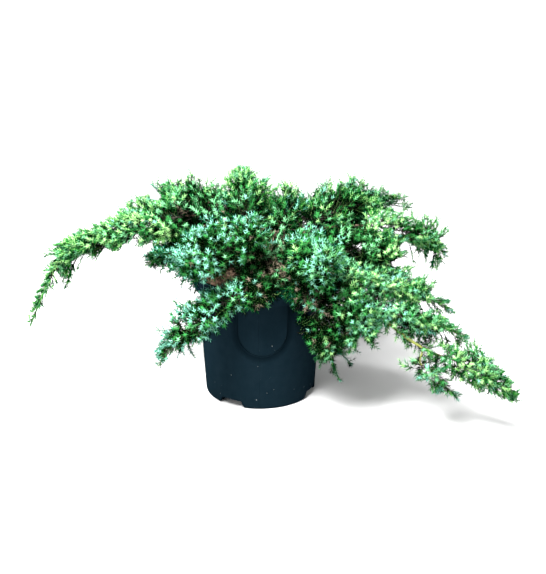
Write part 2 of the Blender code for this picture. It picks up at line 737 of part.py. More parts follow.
def side_spray(mass, masses, index, trees, rng, t, roll, sunk):
    """One spray off a mass's stem, tried in several sizes and turns until it fits."""
    lean = np.interp(t, (0.0, 1.0), SPRAY_LEAN) + rng.uniform(-LEAN_PLAY, LEAN_PLAY)
    lean = math.radians(lean)
    roll += rng.uniform(-ROLL_PLAY, ROLL_PLAY)
    turn = rng.uniform(0, math.tau)
    axis = mass.direction(t)
    side, across = cross_axes(axis)
    girth = mass.girth(t)
    for attempt in range(SHRINK_TRIES * TURN_TRIES):
        angle = roll + (attempt // SHRINK_TRIES) * math.tau / TURN_TRIES
        scale = SHRINK ** (attempt % SHRINK_TRIES)
        size = spray_size(girth) * scale
        outward = side * math.cos(angle) + across * math.sin(angle)
        shortest = leafy_length(SIDE_WHORLS, size) + BARE_FOOT
        length = max(girth / math.sin(lean) * scale, shortest)
        tilt = min(lean, math.asin(min(1.0, REACH_IN_GIRTH * girth / length)))
        direction = (axis * math.cos(tilt) + outward * math.sin(tilt)).normalized()
        root = mass.point(t) + direction * sunk
        swollen = twig_spray(root, direction, length - sunk, turn, size, SWELL)
        if in_own_space(masses, index, swollen[0][3:], SPRAY_EDGE) and is_clear(*swollen, trees):
            return twig_spray(root, direction, length - sunk, turn, size)
    return None


def is_closed(mesh):
    work = bmesh.new()
    work.from_mesh(mesh)
    closed = all(len(edge.link_faces) == 2 for edge in work.edges)
    work.free()
    return closed


def fuse(name, shapes, parts, material):
    """One solid from a stem and all that stands on it, with fewer sprays if it must."""
    body = union_of(name, shapes, parts)
    while not is_closed(body.data):
        shapes = shapes[:-1]
        bpy.data.objects.remove(body, do_unlink=True)
        body = union_of(name, shapes, parts)
    body.data.materials.clear()
    body.data.materials.append(material)
    return body


def union_of(name, shapes, parts):
    body = mesh_object(name, shapes[0], parts)
    extras = new_collection(name + "_pieces")
    for number, shape in enumerate(shapes[1:]):
        mesh_object(f"{name}_piece_{number}", shape, extras)
    union = body.modifiers.new("union", "BOOLEAN")
    union.operation = "UNION"
    union.operand_type = "COLLECTION"
    union.collection = extras
    union.solver = "EXACT"
    applied_mesh(body)
    for piece in list(extras.objects):
        bpy.data.objects.remove(piece, do_unlink=True)
    bpy.data.collections.remove(extras)
    keep_main_body(body)
    return body


def stem_point(share):
    return Vector((STEM_LEAN[0] * share, STEM_LEAN[1] * share,
                   SOIL_TOP + (STEM_TOP - SOIL_TOP) * share))


def make_limb(branch, mass, limbs):
    """The bough of a branch, from its parent's middle to the root of its mass."""
    end = mass.root
    tail = mass.direction(0.0)
    rise = RISE_TO_CLEAR_RIM * max(0.0, POT_HEIGHT + CLEAR_HEIGHT - end.z)
    if branch.parent == "stem":
        start = stem_point(branch.share)
        outward = Vector((end.x - start.x, end.y - start.y, 0.0)).normalized()
        lead = (outward + Vector((0, 0, BOUGH_RISE + rise))).normalized()
    elif branch.parent == "stem_top":
        start = stem_point(1.0) + Vector((0, 0, GAP))
        lead = Vector((0, 0, 1))
    else:
        parent = limbs[branch.parent]
        start = parent.seat(branch.share)
        lead = (parent.direction(branch.share) + (end - start).normalized() * LEAD_TO_END
                + Vector((0, 0, rise))).normalized()
    reach = (end - start).length * HANDLE_SHARE
    handles = (start + lead * reach, end - tail * reach)
    radii = (branch.thick / 1000, max(branch.thick / 2000, LEAST_TIP_RADIUS))
    return Limb("bough_" + branch.name, (start, end), handles, radii)


def elbow_limb(branch, mass, arm):
    """The short limb at the bend of an arm, between two masses."""
    lead = arm.direction(1.0)
    start = arm.tip + lead * GAP
    reach = (mass.root - start).length * ELBOW_HANDLE_SHARE
    handles = (start + lead * reach, mass.root - mass.direction(0.0) * reach)
    radii = [TWIG_RADIUS * swell for swell in ELBOW_SWELL]
    return Limb("bough_" + branch.name, (start, mass.root), handles, radii)


def main():
    clear_scene()
    parts = new_collection("potted_flaky_juniper")
    cutters = new_collection("cutters")
    plastic = make_material("black_plastic", (0.010, 0.014, 0.018), 0.45)
    earth = make_material("bark_soil", (0.050, 0.030, 0.020), 0.95)
    bark = make_material("juniper_bark", (0.16, 0.09, 0.05), 0.9)
    green = make_material("juniper_green", (0.10, 0.27, 0.12), 0.7)

    pot = make_pot(parts, cutters, plastic)
    soil = make_soil(parts, cutters, earth)
    stem, stem_clearance = make_stem(parts, cutters, bark)

    masses = [Mass(branch) for branch in BRANCHES]
    by_name = {mass.name: mass for mass in masses}
    limbs = {}
    clearances = {"stem": stem_clearance}
    trees = [tree_of_object(solid) for solid in (pot, soil, stem_clearance)]
    waiting = list(BRANCHES)
    while waiting:
        branch = waiting.pop(0)
        mass = by_name[branch.name]
        if branch.parent == "left_arm_end":
            limb = elbow_limb(branch, mass, by_name["left_arm"])
        elif branch.parent in ("stem", "stem_top") or branch.parent in limbs:
            limb = make_limb(branch, mass, limbs)
        else:
            waiting.append(branch)
            continue
        limbs[branch.name] = limb
        solid = limb.build(limb.name, parts)
        solid.data.materials.append(bark)
        if branch.parent in clearances:
            boolean(solid, clearances[branch.parent])
            applied_mesh(solid)
            keep_main_body(solid)
        shade_round(solid, 60.0)
        clearance = as_cutter(limb.build(limb.name + "_clearance", cutters, GAP))
        clearances[branch.name] = clearance
        trees.append(tree_of_object(clearance))

    for index, mass in enumerate(masses):
        rng = random.Random(SEED + index)
        shapes = grow_mass(mass, masses, index, trees, rng, mass.name == "left_arm")
        body = fuse("foliage_" + mass.name, shapes, parts, green)
        trees.append(tree_of_object(body))


main()
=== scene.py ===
"""The looks of a potted flaky juniper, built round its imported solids."""
import json
import math
import random
from collections import namedtuple

import bmesh
import bpy
import numpy as np
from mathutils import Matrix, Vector

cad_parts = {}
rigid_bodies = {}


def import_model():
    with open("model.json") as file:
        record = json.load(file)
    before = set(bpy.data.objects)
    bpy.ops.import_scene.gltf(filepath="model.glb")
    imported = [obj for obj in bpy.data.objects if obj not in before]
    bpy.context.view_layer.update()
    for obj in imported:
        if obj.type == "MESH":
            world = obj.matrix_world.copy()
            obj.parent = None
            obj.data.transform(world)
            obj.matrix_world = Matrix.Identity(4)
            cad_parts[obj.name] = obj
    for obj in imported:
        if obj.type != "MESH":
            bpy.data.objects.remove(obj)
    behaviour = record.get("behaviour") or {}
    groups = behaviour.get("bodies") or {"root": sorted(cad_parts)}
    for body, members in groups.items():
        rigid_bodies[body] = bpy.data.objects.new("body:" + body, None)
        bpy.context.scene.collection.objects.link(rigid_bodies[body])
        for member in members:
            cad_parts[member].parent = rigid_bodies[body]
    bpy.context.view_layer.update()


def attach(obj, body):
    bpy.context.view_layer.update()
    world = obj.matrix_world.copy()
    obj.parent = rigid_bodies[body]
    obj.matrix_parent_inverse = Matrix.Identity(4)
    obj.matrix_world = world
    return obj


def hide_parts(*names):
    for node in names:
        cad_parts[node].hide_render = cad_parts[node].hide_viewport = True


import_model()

# The photograph's view: a camera that looks along +Y and down
IMAGE_LONG_SIDE = 574
FOCAL_PIXELS = 1168.0
CAMERA_DISTANCE = 2.2
CAMERA_ELEVATION = math.radians(20.8)
AIM = Vector((0.0244, 0.0, 0.2039))
SENSOR = 36.0

# The pot, as in the solids
POT_HEIGHT = 0.2415
RIM_RADIUS = 0.125
RIM_BAND = 0.030
RIM_TAPER = 0.0015
LIP_ROUND = 0.0015
BODY_BASE_RADIUS = 0.1048
BODY_SLOPE = 0.050
CORNER_RADIUS = 0.004
WALL = 0.002
FLOOR = 0.0025
TURN_STEPS = 144
PANEL_COUNT = 4
PANEL_BEARING = -87.0
PANEL_WIDTH = 0.092
PANEL_BOTTOM = 0.110
PANEL_DEPTH = 0.0009
PANEL_STEPS = 32
DRAIN_BEARINGS = (-121.0, -22.0, 59.0, 158.0)
DRAIN_FOOT_WIDTH = 0.055
DRAIN_TOP_WIDTH = 0.041
DRAIN_HEIGHT = 0.014
DRAIN_REACH = 0.036
POT_CLEARANCE = 0.003
GROOVE_WIDTH = 0.016        # the soft groove round a panel
GROOVE_DEPTH = 0.0012
SEAM_BEARING = -91.0
SEAM_WIDTH = 0.008          # as an angle
CRUMB_COUNT = 60
CRUMBS = ((-92.0, 0.090), (-93.5, 0.020), (-83.0, 0.034), (-76.0, 0.040), (-119.0, 0.066),
          (-78.0, 0.130))  # bearing and height of the larger ones

SOIL_TOP = 0.227
SOIL_EDGE = 0.223
STEM_TOP = 0.286
STEM_LEAN = (0.004, -0.003)
BOUGH_RISE = 0.35
RISE_TO_CLEAR_RIM = 2.5
GAP = 0.0003
YOUNG = {                   # the share from which a bough is young, and its shoots' spacing
    "right_arm": (0.45, 0.0022), "left_tip": (0.0, 0.0005), "right_hang": (0.0, 0.004),
    "right_middle": (0.5, 0.004),
}
TWIG_RADIUS = 0.0016

# Foliage, finer than in the solids
AXIS_SAMPLES = 15
GOLDEN_ANGLE = math.radians(137.5)
SIDE_SPACING = 0.0022       # between side twigs along a stem
SHOOT_SPACING = 0.0044      # between shoots along a side twig
SHOOT_LENGTH = (0.013, 0.030)
SHORTEST_TWIG = 0.010
SHORTEST_SHOOT = 0.007
WHORL_SPACING = 0.0030
NEEDLE_LENGTH = 0.0105
NEEDLE_WIDTH = 0.0019
NEEDLE_ROOM = 0.0060        # kept free for needles at the edge of a mass's space
EDGE_SPREAD = (0.74, 1.12)  # how far single sprays stop short of that edge or pass it
TIP_OVERHANG = 0.007        # how far a shoot may pass the end of its mass's stem
GROUND_CLEARANCE = 0.012
SPACE_MARGIN = 0.08
ROOM_STEPS = 8
OLD_SHADED_SHARE = 0.30            # the inner part of a shoot, where the needles are near black: painted shade, darker than the real dark green of old needles
DEEP_SHARE = 0.16           # the part of it above that, where they are deep green: painted half shade
DEEP_BAND = (-0.14, 0.08)   # the computed light round a mass's level in which shoots are painted deep green as half shade; below it they are painted shade
DEAD_GAPS = 0.50            # share of the needles on a dead shoot that get the near-black shade tint: painted shade between the pale dead needles
DENSE_GROWTH = 1.35         # how much closer side twigs stand in a dense mass
PATCH_SIZE = 0.050          # how far apart the sprays stand that the foliage parts into
HOLLOW_LEVEL = -0.22        # below this the outer shoots are left out between them
HOLLOW_DEPTH = 0.62         # down to this share of a mass's girth
LIT_LEVEL = 0.92            # shoots whose computed light comes near or below it are painted deep green, and lower still painted shade
LIT_LEVELS = {
    "right_upper": 0.50, "right_middle": 0.50, "right_top_arm": 0.56, "top_mid": 0.62,
    "left_tip": -0.60, "right_arm": 0.55, "right_mid": 1.02, "left_top": 0.88,
    "left_arm": 0.60, "front_low": 1.05, "left_front": 0.98, "top_right": 0.76,
    "peak": 0.66, "right_hang": 0.60, "skirt_left": 0.76, "front_right": 1.00,
}
DENSE = ("skirt_right", "skirt_mid", "right_mid", "right_upper", "inner_front", "left_arm",
         "left_low", "front_right")        # masses that the sky doesn't show through
CLOSENESS = {               # where twigs, shoots and needles lie close: share of their lean
    "left_tip": 0.50, "left_arm": 0.85, "right_arm": 0.85, "right_hang": 0.85,
    "right_top_arm": 0.85, "right_upper": 0.85, "right_middle": 0.85, "peak": 0.85,
}
SEED = 41

# Old shoots along the boughs, dead within a dome round the trunk
OLD_SPACING = 0.0022
OLD_LENGTH = (0.016, 0.040)
YOUNG_LENGTH = (0.010, 0.022)
CLOTHED = ("skirt_mid", "skirt_right", "front_right", "right_mid", "right_middle", "right_upper",
           "left_arm", "left_top", "left_low", "front_low")  # boughs clothed all along
CLOTHED_SPACING = 0.0009
CLOTHED_REACH = 1.35
DOME_RADIUS = 0.150
DOME_BASE = 0.235
DOME_HEIGHT = 0.100
DEAD_SECTOR = (-98.0, -30.0)   # bearings between which most of them are dead

Branch = namedtuple("Branch", "name parent share thick root tip arch girth look")

# look: shares of blue-green, green, fresh and dead shoots, the rest getting the near-black shade tint,
# which is painted shade
BRANCHES = (
    Branch("left_arm", "stem", 0.80, 3.6, (171.2, 14.1, 33.7), (-177.0, 36.6, 27.5),
           1.0, (6.8, 4.6, 2.7), (0.10, 0.40, 0.50, 0.00)),
    Branch("left_tip", "left_arm_end", 1.0, 1.6, (-176.0, 37.6, 25.5), (-173.0, 42.9, 14.8),
           0.4, (2.4, 1.7, 0.9), (0.00, 0.05, 0.95, 0.00)),
    Branch("left_top", "left_arm", 0.45, 2.4, (140, 8.6, 32.6), (151.6, 21.7, 34.8),
           0.6, (5.0, 5.2, 3.0), (0.12, 0.45, 0.43, 0.00)),
    Branch("left_low", "back_left", 0.45, 2.0, (162.3, 10.5, 27.1), (157.2, 22.9, 22.9),
           0.6, (4.0, 4.3, 2.4), (0.25, 0.45, 0.08, 0.04)),
    Branch("left_front", "stem", 0.60, 3.4, (-140, 6.6, 29.6), (-126.5, 20.7, 30.9),
           0.6, (5.0, 6.6, 4.6), (0.90, 0.08, 0.02, 0.00)),
    Branch("peak", "stem_top", 1.0, 2.6, (140, 3.0, 32.4), (120.0, 6.7, 41.2),
           0.0, (5.0, 5.2, 2.4), (0.10, 0.40, 0.50, 0.00)),
    Branch("front_centre", "front_low", 0.42, 2.2, (-112, 5.2, 29.6), (-96, 13.4, 35.0),
           0.3, (4.6, 5.6, 4.0), (0.60, 0.25, 0.04, 0.05)),
    Branch("front_low", "stem", 0.28, 3.0, (-95, 7.8, 27.2), (-91.2, 16.8, 23.6),
           0.5, (3.2, 3.6, 2.4), (0.10, 0.30, 0.05, 0.10)),
    Branch("inner_front", "front_right", 0.40, 1.8, (-76, 6.4, 27.4), (-66, 14.0, 27.0),
           0.2, (3.0, 3.4, 2.4), (0.00, 0.10, 0.00, 0.55)),
    Branch("skirt_left", "left_front", 0.42, 2.2, (-102.3, 13.4, 24.4), (-131.6, 25.5, 14.5),
           1.3, (3.4, 4.7, 2.2), (0.92, 0.06, 0.02, 0.00)),
    Branch("top_mid", "right_top_arm", 0.25, 2.2, (20, 4.6, 31.0), (54.4, 9.1, 34.7),
           0.2, (4.6, 5.4, 3.6), (0.15, 0.45, 0.40, 0.00)),
    Branch("top_right", "right_top_arm", 0.50, 2.4, (26, 11.0, 31.6), (29.9, 25.3, 33.3),
           0.8, (4.6, 5.6, 3.5), (0.15, 0.45, 0.40, 0.00)),
    Branch("right_top_arm", "stem", 0.92, 3.6, (14.0, 20.4, 30.9), (5.0, 34.0, 27.9),
           0.7, (4.2, 3.8, 2.2), (0.08, 0.42, 0.50, 0.00)),
    Branch("front_right", "stem", 0.60, 3.4, (-50, 8.6, 28.4), (-57, 21.8, 30.6),
           0.6, (5.0, 6.2, 4.2), (0.62, 0.28, 0.04, 0.02)),
    Branch("right_mid", "right_upper", 0.40, 2.4, (-4, 12.0, 28.6), (-17, 26.6, 29.0),
           0.6, (5.2, 6.2, 4.2), (0.22, 0.50, 0.28, 0.00)),
    Branch("right_upper", "stem", 0.42, 3.4, (-22, 16.0, 25.4), (-21.8, 36.8, 21.4),
           0.9, (4.8, 4.0, 1.4), (0.20, 0.42, 0.38, 0.00)),
    Branch("right_middle", "right_arm", 0.56, 2.2, (-25, 21.6, 19.8), (-26.8, 40.3, 17.9),
           0.9, (4.0, 3.4, 1.3), (0.22, 0.43, 0.35, 0.00)),
    Branch("right_arm", "stem", 0.80, 4.2, (-27.5, 36.8, 13.6), (-26.0, 49.4, 8.6),
           0.7, (3.0, 4.1, 1.8), (0.10, 0.45, 0.45, 0.00)),
    Branch("right_hang", "right_arm", 0.90, 1.8, (-32.1, 33.9, 12.5), (-31.0, 39.0, 8.4),
           0.4, (2.8, 3.2, 1.8), (0.30, 0.50, 0.20, 0.00)),
    Branch("skirt_right", "right_arm", 0.34, 2.2, (-41.2, 15.1, 24.8), (-41, 25.6, 17.4),
           0.6, (5.0, 6.2, 3.8), (0.30, 0.45, 0.15, 0.02)),
    Branch("skirt_mid", "front_right", 0.55, 2.2, (-52, 15.8, 21.6), (-50, 20.2, 11.8),
           0.5, (4.0, 5.0, 3.0), (0.15, 0.45, 0.08, 0.04)),
    Branch("back_left", "stem", 0.72, 3.4, (113, 10.0, 29.6), (128, 29.6, 24.8),
           1.2, (5.4, 7.8, 6.0), (0.30, 0.45, 0.25, 0.00)),
    Branch("back_mid", "stem", 0.58, 3.2, (88, 10.0, 29.4), (89, 27.6, 24.4),
           1.0, (5.4, 7.8, 6.0), (0.30, 0.45, 0.25, 0.00)),
    Branch("back_right", "stem", 0.76, 3.2, (58, 11.6, 30.0), (51, 30.2, 25.4),
           1.2, (5.2, 7.6, 5.8), (0.30, 0.45, 0.25, 0.00)),
    Branch("back_skirt_left", "back_mid", 0.45, 2.2, (114, 14.6, 23.4), (116, 24.4, 15.4),
           0.8, (4.0, 5.6, 4.2), (0.45, 0.45, 0.10, 0.00)),
    Branch("back_skirt_mid", "back_mid", 0.62, 2.2, (82, 15.6, 23.0), (78, 24.2, 14.2),
           0.8, (4.0, 5.6, 4.2), (0.45, 0.45, 0.10, 0.00)),
    Branch("back_skirt_right", "back_right", 0.42, 2.2, (48, 16.0, 23.6), (38, 26.4, 16.4),
           0.8, (4.0, 5.4, 4.0), (0.45, 0.45, 0.10, 0.00)),
)

# Long shoots that stand clear of a mass: where each leaves its stem, and its tip
# as bearing, reach and height in cm
STRAYS = {
    "left_arm": ((0.80, (-178, 36.5, 24.2)), (0.83, (-178, 36.2, 23.4)),
        (0.85, (-178, 37.0, 22.9)), (0.84, (-178, 36.8, 22.1)), (0.82, (-178, 35.9, 21.6)),
        (0.86, (-178, 37.1, 23.3)), (0.40, (179, 24.2, 36.9)), (0.45, (179, 23.4, 37.2)),
        (0.90, (-178, 38.8, 28.1)), (0.80, (-178, 36.4, 20.8)), (0.74, (-179, 34.1, 24.3)),
        (0.94, (-178, 39.6, 27.2)), (0.55, (-180, 30.4, 26.2)), (0.50, (180, 25.5, 35.7)),
        (0.30, (178, 22.4, 37.5)), (0.15, (176, 20.3, 36.4)), (0.22, (177, 21.6, 36.1))),
    "left_low": ((0.55, (164, 22.9, 22.5)), (0.60, (161, 20.5, 21.0)), (0.75, (162, 23.7, 24.0)),
        (0.30, (162, 15.8, 21.8)), (0.45, (162, 18.3, 21.3))),
    "left_top": ((0.80, (152, 20.2, 38.0)), (0.75, (151, 19.1, 38.1)), (0.85, (151, 19.9, 38.4)),
        (0.15, (142, 10.2, 38.7)), (0.05, (140, 9.0, 38.5)), (0.40, (150, 15.0, 40.3)),
        (0.45, (148, 14.6, 39.5)), (0.85, (154, 21.7, 38.2)), (0.25, (146, 12.0, 39.0)),
        (0.75, (156, 22.7, 37.7)), (0.45, (151, 15.6, 39.7)), (0.90, (155, 22.9, 37.7)),
        (0.60, (155, 19.9, 38.1)), (0.10, (140, 9.3, 38.2)), (0.35, (148, 13.4, 39.2)),
        (0.20, (144, 11.1, 39.2)), (0.50, (152, 17.1, 38.8))),
    "peak": ((0.30, (59, 3.6, 40.6)), (0.25, (50, 3.8, 39.7)), (0.20, (40, 4.2, 38.9)),
        (0.65, (99, 4.5, 41.3)), (0.55, (133, 5.6, 42.6)), (0.60, (117, 4.8, 42.0)),
        (0.30, (70, 3.3, 40.6)), (0.70, (134, 6.4, 41.7))),
    "top_mid": ((0.75, (41, 9.0, 38.0)), (0.80, (46, 8.7, 39.1)), (0.70, (49, 7.5, 39.1)),
        (0.85, (42, 9.8, 37.5)), (0.60, (52, 6.4, 38.7)), (0.50, (56, 5.4, 38.4)),
        (0.70, (45, 8.0, 37.7)), (0.55, (47, 6.6, 39.1)), (0.65, (46, 7.5, 38.6))),
    "top_right": ((0.80, (25, 26.2, 36.2)), (0.78, (24, 26.9, 35.8)), (0.90, (24, 29.5, 34.3)),
        (0.92, (23, 30.8, 34.5)), (0.50, (26, 20.0, 39.2)), (0.45, (26, 19.3, 39.1)),
        (0.80, (23, 27.8, 32.3)), (0.75, (22, 28.7, 31.7)), (0.45, (26, 18.9, 39.5)),
        (0.55, (25, 21.2, 38.7)), (0.20, (26, 14.6, 39.1)), (0.82, (26, 26.0, 36.3)),
        (0.15, (27, 13.1, 38.8)), (0.35, (26, 17.0, 38.9)), (0.50, (26, 19.7, 39.0)),
        (0.62, (26, 21.9, 38.1)), (0.85, (25, 27.2, 35.0)), (0.90, (22, 31.2, 33.1)),
        (0.88, (24, 29.2, 34.6)), (0.93, (23, 31.5, 32.2)), (0.86, (24, 28.3, 35.0))),
    "right_top_arm": ((0.75, (6, 31.2, 26.2)), (0.70, (7, 30.3, 26.9)), (0.80, (6, 31.8, 25.6)),
        (0.90, (5, 33.3, 23.9)), (0.88, (6, 33.0, 23.2)), (0.85, (6, 31.4, 26.0)),
        (0.80, (6, 30.8, 26.6)), (0.70, (7, 29.1, 32.9)), (0.95, (5, 35.3, 25.5)),
        (0.92, (5, 34.5, 24.3)), (0.93, (5, 33.8, 23.1)), (0.80, (6, 32.2, 32.3)),
        (0.85, (6, 33.5, 32.0)), (0.90, (5, 34.7, 31.0)), (0.70, (7, 31.0, 32.3)),
        (0.75, (6, 31.7, 32.7)), (0.75, (6, 33.3, 32.9)), (0.90, (5, 35.5, 30.4)),
        (0.50, (8, 29.4, 24.0)), (0.70, (6, 31.7, 24.7)), (0.20, (9, 27.6, 34.3)),
        (0.90, (5, 35.4, 27.1)), (0.90, (6, 32.8, 23.5)), (0.60, (7, 30.4, 25.5)),
        (0.80, (6, 33.7, 25.2)), (0.85, (5, 34.8, 26.2)), (0.60, (7, 31.2, 33.0)),
        (0.45, (8, 29.0, 33.7))),
    "right_upper": ((0.30, (-18, 27.3, 27.4)), (0.35, (-18, 28.4, 27.7)),
        (0.30, (-18, 26.4, 27.2)), (0.40, (-18, 28.8, 27.5)), (0.60, (-20, 31.2, 26.5)),
        (0.70, (-20, 32.9, 25.5)), (0.50, (-19, 29.5, 14.6)), (0.55, (-20, 30.6, 15.1)),
        (0.60, (-20, 31.7, 15.1)), (0.65, (-20, 32.8, 15.1)), (0.70, (-20, 33.3, 19.9)),
        (0.75, (-20, 34.4, 19.9)), (0.65, (-20, 31.6, 26.3)), (0.75, (-21, 33.2, 25.4))),
    "right_middle": ((0.40, (-25, 30.2, 15.4)), (0.50, (-25, 32.5, 15.8)),
        (0.30, (-24, 29.5, 13.3)), (0.70, (-25, 36.1, 14.9)), (0.75, (-25, 37.3, 14.1)),
        (0.85, (-25, 39.3, 16.0)), (0.45, (-25, 31.7, 15.0)), (0.55, (-25, 33.8, 15.2)),
        (0.35, (-25, 29.4, 15.2)), (0.85, (-26, 38.9, 16.0)), (0.30, (-25, 28.5, 15.0)),
        (0.70, (-24, 37.9, 18.5)), (0.50, (-22, 36.2, 18.9)), (0.50, (-25, 32.6, 15.8)),
        (0.62, (-25, 34.9, 15.7)), (0.40, (-25, 30.7, 16.2))),
    "right_arm": ((0.05, (-30, 34.5, 14.7)), (0.08, (-30, 35.2, 14.0)),
        (0.02, (-30, 33.7, 15.0)), (0.45, (-26, 43.1, 8.4)), (0.40, (-27, 42.1, 8.8)),
        (0.50, (-26, 44.2, 8.1)), (0.10, (-28, 37.1, 11.7)), (0.15, (-27, 38.4, 11.0)),
        (0.20, (-27, 39.5, 10.5)), (0.20, (-28, 38.6, 9.8)), (0.30, (-27, 40.0, 9.6)),
        (0.50, (-27, 41.9, 17.3)), (0.55, (-27, 43.1, 16.3)), (0.60, (-27, 44.0, 15.2)),
        (0.55, (-27, 43.6, 8.0)), (0.65, (-26, 45.0, 7.8)), (0.90, (-25, 50.0, 7.0)),
        (0.45, (-27, 41.4, 16.5)), (0.75, (-26, 46.8, 11.9)), (0.10, (-29, 36.4, 16.3)),
        (0.60, (-27, 44.2, 14.7)), (0.30, (-28, 39.1, 15.6)), (0.80, (-25, 48.4, 9.7)),
        (0.20, (-28, 38.4, 16.1)), (0.35, (-27, 40.5, 17.0))),
    "right_hang": ((0.02, (-32, 34.2, 13.1)), (0.05, (-31, 34.8, 12.4)),
        (0.03, (-33, 33.5, 12.7)), (0.05, (-34, 32.3, 13.1)), (0.10, (-33, 33.3, 11.6)),
        (0.20, (-33, 33.9, 10.4)), (0.50, (-32, 35.8, 9.3)), (0.55, (-32, 36.2, 8.8)),
        (0.10, (-33, 33.7, 11.8)), (0.20, (-32, 34.4, 10.8)), (0.90, (-30, 39.7, 7.6)),
        (0.95, (-30, 40.2, 7.2)), (0.15, (-36, 30.8, 12.7)), (0.55, (-34, 34.2, 10.5)),
        (0.70, (-32, 37.1, 7.8))),
    "skirt_left": ((0.70, (-130, 22.6, 19.3)), (0.65, (-129, 21.9, 18.6)),
        (0.80, (-133, 24.6, 18.2)), (0.90, (-132, 25.0, 15.6)), (0.55, (-128, 20.7, 16.4)),
        (0.60, (-127, 20.8, 15.0)), (0.70, (-131, 23.0, 21.5)), (0.65, (-132, 22.7, 20.3)),
        (0.45, (-129, 20.3, 23.4)), (0.55, (-132, 22.0, 24.0)), (0.65, (-132, 22.9, 21.6)),
        (0.75, (-135, 24.7, 19.0)), (0.70, (-124, 20.9, 14.3)), (0.80, (-135, 25.1, 12.3)),
        (0.50, (-130, 21.0, 23.3)), (0.60, (-131, 22.1, 22.6)), (0.42, (-128, 19.8, 23.5))),
    "skirt_mid": ((0.60, (-53, 18.0, 10.4)), (0.60, (-45, 20.2, 8.0)), (0.50, (-40, 21.7, 10.9)),
        (0.60, (-46, 19.7, 8.8))),
    "skirt_right": ((0.75, (-36, 25.4, 14.7)), (0.60, (-39, 22.2, 13.3)),
        (0.80, (-44, 22.2, 13.9)), (0.60, (-42, 20.9, 16.0)), (0.50, (-42, 20.1, 17.3)),
        (0.30, (-48, 16.2, 22.9)), (0.30, (-49, 15.9, 21.3))),
    "left_front": ((0.75, (-137, 19.7, 28.3)), (0.70, (-137, 19.0, 27.4)),
        (0.90, (-139, 23.5, 33.6)), (0.85, (-141, 23.5, 32.5)), (0.80, (-138, 21.0, 28.9)),
        (0.70, (-139, 19.5, 27.0)), (0.75, (-135, 19.0, 26.7)), (0.70, (-137, 19.0, 25.7)),
        (0.50, (-138, 15.6, 23.2)), (0.40, (-144, 15.5, 23.5))),
    "front_right": ((0.56, (-72, 13.9, 23.3)), (0.58, (-68, 14.4, 22.8)),
        (0.60, (-66, 14.9, 23.1)), (0.55, (-74, 13.5, 24.0)), (0.60, (-70, 14.5, 24.0)),
        (0.57, (-66, 14.5, 21.8)), (0.35, (-41, 16.2, 22.1)), (0.30, (-42, 15.1, 20.8)),
        (0.45, (-42, 17.7, 21.8))),
    "inner_front": ((0.30, (-79, 8.3, 20.6)), (0.50, (-73, 10.0, 19.9)),
        (0.60, (-66, 11.1, 21.4)), (0.80, (-64, 12.8, 21.5)), (0.90, (-60, 14.0, 22.7)),
        (0.20, (-87, 7.5, 21.1)), (0.70, (-65, 12.0, 22.6))),
    "left_tip": ((0.00, (-176, 36.9, 26.3)), (0.00, (-176, 37.6, 25.5)),
        (0.20, (-175, 39.0, 22.8)), (0.25, (-175, 39.6, 22.2)), (0.35, (-175, 39.8, 20.9)),
        (0.40, (-175, 40.9, 21.0)), (0.50, (-174, 40.6, 19.7)), (0.50, (-175, 41.5, 19.7)),
        (0.60, (-174, 41.4, 18.6)), (0.65, (-174, 42.1, 18.9)), (0.75, (-174, 42.2, 17.6)),
        (0.85, (-173, 42.4, 16.5)), (0.95, (-173, 43.0, 16.2)), (0.05, (-176, 38.5, 24.2)),
        (0.10, (-176, 39.1, 23.7)), (0.10, (-176, 38.5, 25.0)), (0.15, (-175, 38.2, 23.7)),
        (0.80, (-174, 42.7, 17.2)), (0.90, (-173, 43.0, 15.5)), (0.05, (-176, 39.6, 22.8))),
    "front_low": ((0.62, (-88, 13.4, 22.6)), (0.64, (-83, 13.6, 23.3)),
        (0.66, (-79, 14.0, 23.9)), (0.68, (-75, 14.4, 23.8)), (0.70, (-92, 14.1, 22.9)),
        (0.72, (-96, 14.4, 22.2)), (0.74, (-101, 14.7, 21.3)), (0.76, (-86, 14.7, 22.7)),
        (0.60, (-81, 13.3, 22.9)), (0.62, (-77, 13.7, 24.3)), (0.80, (-102, 15.3, 22.7)),
        (0.66, (-72, 14.4, 24.1)), (0.70, (-89, 14.1, 24.0)), (0.64, (-85, 13.6, 24.4)),
        (0.30, (-115, 11.5, 27.6)), (0.40, (-117, 12.8, 25.9)), (0.50, (-108, 12.9, 25.2)),
        (0.20, (-110, 10.2, 28.0)), (0.15, (-105, 9.4, 26.3))),
}
STRAY_EDGE = 9.0            # the edge that marks them: no space bounds them
STRAY_SHOOTS = 0.5          # length of their shoots, as a share of the others'

